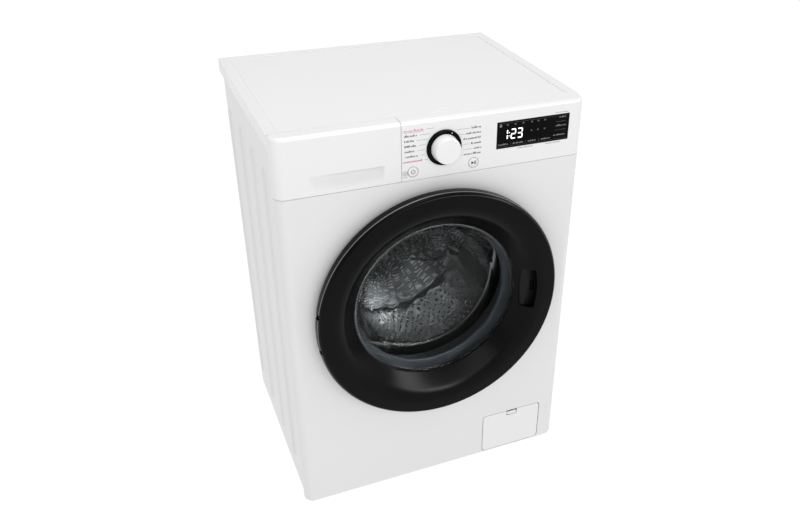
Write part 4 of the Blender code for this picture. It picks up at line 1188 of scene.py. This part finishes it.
# ---- Service flap, filter, feet --------------------------------------------------------------------
def service():
    """Flap with its tongue, the recess behind it, and the pump's screw-in filter."""
    plate = prism("service_flap_plate", outline_of("service_flap", 0.0078), facing,
                  *depths_of("service_flap"), PLASTIC)
    notch = rounded_rectangle((0.1738, 0.1105), (0.1995, 0.1300), 0.0030)
    cut(plate, prism("notch", notch, facing, -0.01, 0.01))
    finished(soften(plate, 0.0006, 3), "flap", ["service_flap"])
    outline = rounded_rectangle((0.1752, 0.1120), (0.1981, 0.1206), 0.0022)
    tongue = prism("service_flap_tongue", outline, facing, 0.0004, 0.0030, PLASTIC)
    finished(soften(tongue, 0.0004, 2), "flap")
    # A near-black plate behind the notch and tongue: painted shade in the gaps around the tongue.
    outline = rounded_rectangle((0.1725, 0.1090), (0.2008, 0.1228), 0.0030)
    shade = prism("service_flap_painted_shade", outline, facing, 0.0030, 0.0042, DARK_TRIM)
    finished(soften(shade, 0.0004, 2), "flap")

    low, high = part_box("service_recess")
    tray = box("service_recess_tray", (low.x, high.x), (0.0080, high.y - FRONT), (low.z, high.z), PLASTIC)
    inside = outline_of("service_recess", 0.006, grow=-0.002)
    x, z = middle_of("pump_filter")
    cut(tray, prism("hollow", inside, facing, -0.01, high.y - FRONT - 0.002),
        disc("filter_hole", about_y(x, z), 0.0310, 0.03, 0.06))
    finished(soften(tray, 0.0006, 2), "cabinet", ["service_recess"])

    profile = [(0, 0.0200), (0.0285, 0.0200), (0.0285, 0.0320), (0.0235, 0.0320), (0.0235, 0.0900),
               (0, 0.0900)]
    profile = rounded(profile, [0, 0.0016, 0.0008, 0, 0.0006, 0])
    cap = turned("filter_cap", profile, about_y(x, z), FILTER_BLUE, 96)
    knurls = []
    for k in range(24):
        spot = on_circle((x, z), 0.0292, 2 * math.pi * k / 24)
        knurls.append(disc("knurl", about_y(*spot), 0.0013, 0.018, 0.034, sides=12))
    cut(cap, merged("knurls", knurls))
    outline = rounded_rectangle((x - 0.004, z - 0.023), (x + 0.004, z + 0.023), 0.003)
    join(cap, prism("grip", outline, facing, 0.0100, 0.0220))
    finished(soften(cap, 0.0006, 2, 40), "filter", ["pump_filter"])


def feet():
    """Four rubber pads, each on a threaded stem with a hexagon."""
    profile = [(0, 0), (0.0178, 0), (0.0190, 0.0012), (0.0190, 0.0052), (0.0172, 0.0070), (0.0150, 0.0090),
               (0.0052, 0.0090)]
    for k in range(14):
        z = 0.0142 + 0.0018 * k
        profile += [(0.0046, z), (0.0055, z + 0.0009)]
    profile += [(0.0040, 0.0400), (0, 0.0400)]
    for number in range(1, 5):
        name = f"foot_{number}"
        low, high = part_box(name)
        x, depth = (low.x + high.x) / 2, (low.y + high.y) / 2 - FRONT
        made = turned(name + "_pad", profile, about_z(x, depth), BLACK_RUBBER, SMALL_ROUND)
        hexagon = arc((x, depth), 0.0100, 0, 300, 5)
        nut = soften(prism(name + "_hexagon", hexagon, upright, 0.0085, 0.0140, BLACK_RUBBER), 0.0005, 2)
        finished(made, name, [name])
        finished(nut, name)


# ---- Back ----------------------------------------------------------------------------------------
def rear():
    """Zinc-coated panel with beads, a round cover, screws and the caps of the transit bolts."""
    front, back = depths_of("rear_panel")
    panel = prism("rear_panel_sheet", outline_of("rear_panel", 0.003, 4), facing, front, back, ZINC)
    tools = [disc("service_hole", ON_AXIS, 0.150, 0.45, 0.47, sides=ROUND)]
    for node, radius in (("inlet_valve", 0.0160), ("drain_outlet", 0.0190), ("power_inlet_gland", 0.0080)):
        tools.append(disc("hole", about_y(*middle_of(node)), radius, 0.45, 0.47))
    cut(panel, *tools)
    finished(soften(panel, 0.0003, 2), "cabinet", ["rear_panel"])
    ribs = []
    for x, bottom, top in ((-0.235, 0.10, 0.70), (0.235, 0.20, 0.70), (-0.120, 0.68, 0.79),
                           (0.120, 0.68, 0.79), (-0.120, 0.05, 0.24), (0.120, 0.05, 0.24)):
        outline = rounded_rectangle((x - 0.009, bottom), (x + 0.009, top), 0.0089, 10)
        rib = prism("rib", outline, facing, back - 0.0004, back + 0.0030, ZINC)
        ribs.append(soften(rib, 0.0028, 4, 40))
    finished(merged("rear_panel_beads", ribs), "cabinet")
    profile = [(0, 0.4674), (0.149, 0.4686), (0.159, 0.4603), (0.178, 0.4603), (0.178, 0.4615),
               (0.160, 0.4615), (0.150, 0.4700), (0.105, 0.4700), (0.100, 0.4688), (0.060, 0.4688),
               (0.055, 0.4700), (0, 0.4700)]
    radii = [0, 0.003, 0.003, 0, 0.0006, 0.003, 0.003, 0.003, 0.003, 0.003, 0.003, 0]
    cover = turned("rear_cover_pressing", rounded(profile, radii), ON_AXIS, ZINC, ROUND, 30)
    finished(cover, "cabinet", ["rear_cover"])
    screws = []
    for k in range(6):
        screws.append(screw(*on_circle((AXIS_X, AXIS_Z), 0.169, math.radians(30 + 60 * k)), 0.4615))
    for x in (-0.275, 0.275):
        for z in (0.045, 0.25, 0.45, 0.65, 0.800):
            screws.append(screw(x, z, back))
    finished(merged("rear_screws", screws), "cabinet")
    profile = [(0, back), (0.0170, back), (0.0170, back + 0.0016), (0.0155, back + 0.0030),
               (0.0080, back + 0.0034), (0.0060, back + 0.0016), (0, back + 0.0014)]
    profile = rounded(profile, [0, 0, 0.0006, 0.001, 0.001, 0.001, 0])
    caps = []
    for z in (0.300, 0.640):
        for x in (-0.195, 0.195):
            caps.append(turned("cap", profile, about_y(x, z), TUB, SMALL_ROUND))
    finished(merged("transit_bolt_caps", caps), "cabinet")


def screw(x, z, base):
    """Round screw head with a hollow in it."""
    profile = [(0, base - 0.0002), (0.0042, base - 0.0002), (0.0042, base + 0.0010), (0.0034, base + 0.0022),
               (0.0012, base + 0.0026), (0.0010, base + 0.0012), (0, base + 0.0012)]
    return turned("screw", profile, about_y(x, z), ZINC, 20)


def connections():
    """Water inlet with its thread, drain spigot and mains gland."""
    x, z = middle_of("inlet_valve")
    valve = box("inlet_valve_body", (x - 0.025, x + 0.025), (0.3500, 0.4400), (z - 0.022, z + 0.022), BLUE)
    thread = [(0, 0.4300), (0.0132, 0.4300), (0.0132, 0.4560)]
    for k in range(8):
        thread += [(0.0122, 0.4568 + 0.0021 * k), (0.0132, 0.4578 + 0.0021 * k)]
    thread += [(0.0126, 0.4740), (0.0090, 0.4740), (0.0090, 0.4550), (0, 0.4550)]
    join(valve, turned("thread", thread, about_y(x, z), sides=SMALL_ROUND))
    finished(soften(valve, 0.0006, 2, 50), "cabinet", ["inlet_valve"])
    x, z = middle_of("drain_outlet")
    profile = [(0.0130, 0.4400), (0.0160, 0.4400), (0.0160, 0.4603), (0.0240, 0.4603), (0.0240, 0.4630),
               (0.0160, 0.4630), (0.0152, 0.4700), (0.0160, 0.4706), (0.0156, 0.4740), (0.0130, 0.4740)]
    made = turned("drain_spigot", rounded(profile, [0.0004] * 10, 2), about_y(x, z), DARK_TRIM, SMALL_ROUND)
    finished(made, "cabinet", ["drain_outlet"])
    x, z = middle_of("power_inlet_gland")
    profile = [(0.0040, 0.4500), (0.0072, 0.4500), (0.0072, 0.4603), (0.0130, 0.4603), (0.0130, 0.4635),
               (0.0104, 0.4652), (0.0100, 0.4680), (0.0092, 0.4690), (0.0085, 0.4735), (0.0040, 0.4735)]
    made = turned("mains_gland", rounded(profile, [0.0004] * 10, 2), about_y(x, z), DARK_TRIM, SMALL_ROUND)
    finished(made, "cabinet", ["power_inlet_gland"])


# ---- CAD nodes that stay: softened edges and their materials ------------------------------------------
def dress_frame():
    """Material and edge radius of each node that is kept as the CAD has it."""
    looks = {"base_frame": (ZINC, 0.0005), "main_control_board": (DARK_TRIM, 0.0015),
             "dispenser_housing": (PLASTIC, 0.0008), "drain_pump": (TUB, 0.0010),
             "door_lock": (DARK_TRIM, 0.0008), "door_hinge_bracket": (DARK_TRIM, 0.0006),
             "door_hinge_pin": (ZINC, 0.0004), "door_hinge_arm": (ALUMINIUM, 0.0012),
             "latch_hook": (DARK_TRIM, 0.0005), "heater": (SHADED_STAINLESS, 0.0), "stator": (COPPER, 0.0020),
             "spider": (ALUMINIUM, 0.0015), "shaft": (ZINC, 0.0006), "rotor": (ZINC, 0.0010)}
    for pair, look, width in (("damper_cylinder_left damper_cylinder_right", DARK_TRIM, 0.0008),
                              ("damper_rod_left damper_rod_right", ZINC, 0.0005),
                              ("tub_front tub_rear", TUB, 0.0012),
                              ("counterweight_upper counterweight_lower", CONCRETE, 0.0030),
                              ("bearing_front bearing_rear", SHADED_STAINLESS, 0.0005)):
        looks.update((name, (look, width)) for name in pair.split())
    for name, (look, width) in looks.items():
        node = NODES[name]
        node.data.materials.clear()
        node.data.materials.append(look)
        if width:
            weld = node.modifiers.new("weld", "WELD")
            weld.merge_threshold = 1e-5
            rounding = node.modifiers.new("rounded_edges", "BEVEL")
            rounding.width = width
            rounding.segments = 2
            rounding.limit_method = "ANGLE"
            rounding.angle_limit = math.radians(35)
            rounding.harden_normals = True


# ---- Studio ----------------------------------------------------------------------------------------
def studio():
    """White surroundings, a pale glowing floor, two soft lights and a third that only makes sheen."""
    world = bpy.data.worlds.new("studio")
    bpy.context.scene.world = world
    world.use_nodes = True
    tree = world.node_tree
    coords, split = tree.nodes.new("ShaderNodeTexCoord"), tree.nodes.new("ShaderNodeSeparateXYZ")
    tree.links.new(coords.outputs["Generated"], split.inputs["Vector"])

    def ranged(axis, start, end, low, high):
        node = tree.nodes.new("ShaderNodeMapRange")
        for name, value in (("From Min", start), ("From Max", end), ("To Min", low), ("To Max", high)):
            node.inputs[name].default_value = value
        tree.links.new(split.outputs[axis], node.inputs["Value"])
        return node.outputs["Result"]

    # White at the horizon, dimmer overhead and dimmest on the left.
    blend = tree.nodes.new("ShaderNodeMix")
    blend.inputs["A"].default_value = 1.0
    tree.links.new(ranged("Z", 0.10, 0.32, 0.0, 1.0), blend.inputs["Factor"])
    tree.links.new(ranged("X", -0.9, 0.3, 0.45, 0.55), blend.inputs["B"])
    tree.links.new(blend.outputs["Result"], tree.nodes["Background"].inputs["Color"])

    mesh_data = bmesh.new()
    bmesh.ops.create_grid(mesh_data, x_segments=8, y_segments=8, size=30.0)
    floor = to_object("studio_floor", mesh_data, None, 0)
    look = surface("studio_floor", tone(0.06), tone(0.055), 0.9, 0.5, 4, 0.0)
    shader = look.node_tree.nodes["Principled BSDF"]
    shader.inputs["Specular IOR Level"].default_value = 0.0
    shader.inputs["Emission Color"].default_value = (1.0, 1.0, 1.0, 1.0)
    shader.inputs["Emission Strength"].default_value = 1.0
    look.cycles.emission_sampling = "NONE"
    floor.data.materials.append(look)

    def softbox(name, place, aim, width, height, power, sheen_only=False):
        data = bpy.data.lights.new(name, "AREA")
        data.shape = "RECTANGLE"
        data.size, data.size_y, data.energy = width, height, power
        lamp = linked(name, data)
        lamp.location = place
        lamp.rotation_euler = (Vector(aim) - Vector(place)).to_track_quat("-Z", "Y").to_euler()
        lamp.visible_diffuse = not sheen_only

    softbox("overhead_softbox", (0.0, -0.1, 3.2), (0, 0, 0.8), 1.6, 1.1, 30)
    softbox("front_softbox", (-0.20, -2.55, 2.10), (0, -0.2, 0.5), 3.0, 0.9, 22)
    softbox("sheen_softbox", (1.90, -2.00, 1.90), (0, -0.2, 0.4), 4.0, 0.8, 105, True)
    bpy.context.scene.view_settings.view_transform = "Standard"
    bpy.context.scene.view_settings.look = "None"


def camera():
    """Seen from the left front and above."""
    turn, tilt, roll = -0.4241, 0.5546, 0.0255
    back = Vector((math.sin(turn) * math.cos(tilt), -math.cos(turn) * math.cos(tilt), math.sin(tilt)))
    level = Vector((math.cos(turn), math.sin(turn), 0.0))
    rise = back.cross(level)
    right = math.cos(roll) * level + math.sin(roll) * rise
    up = -math.sin(roll) * level + math.cos(roll) * rise
    data = bpy.data.cameras.new("camera")
    data.lens, data.sensor_width = 37.6, 36.0
    data.shift_x, data.shift_y = -0.075, 0.01875
    data.clip_start, data.clip_end = 0.05, 200.0
    made = linked("camera", data)
    turned_to = Matrix((right, up, back)).transposed().to_4x4()
    made.matrix_world = Matrix.Translation((-0.5343, -1.5106, 1.3803)) @ turned_to
    bpy.context.scene.camera = made


camera()
studio()
dress_frame()
side_panel("left_side_panel", -1)
side_panel("right_side_panel", 1)
front_panel()
worktop()
control_panel()
dial()
buttons()
programme_labels()
display()
drawer()
door_ring()
door_frame()
door_bowl()
ring_highlight_line()
hinge_barrels()
gasket()
drum()
springs()
sump_hose()
service()
feet()
rear()
connections()

bpy.context.view_layer.update()
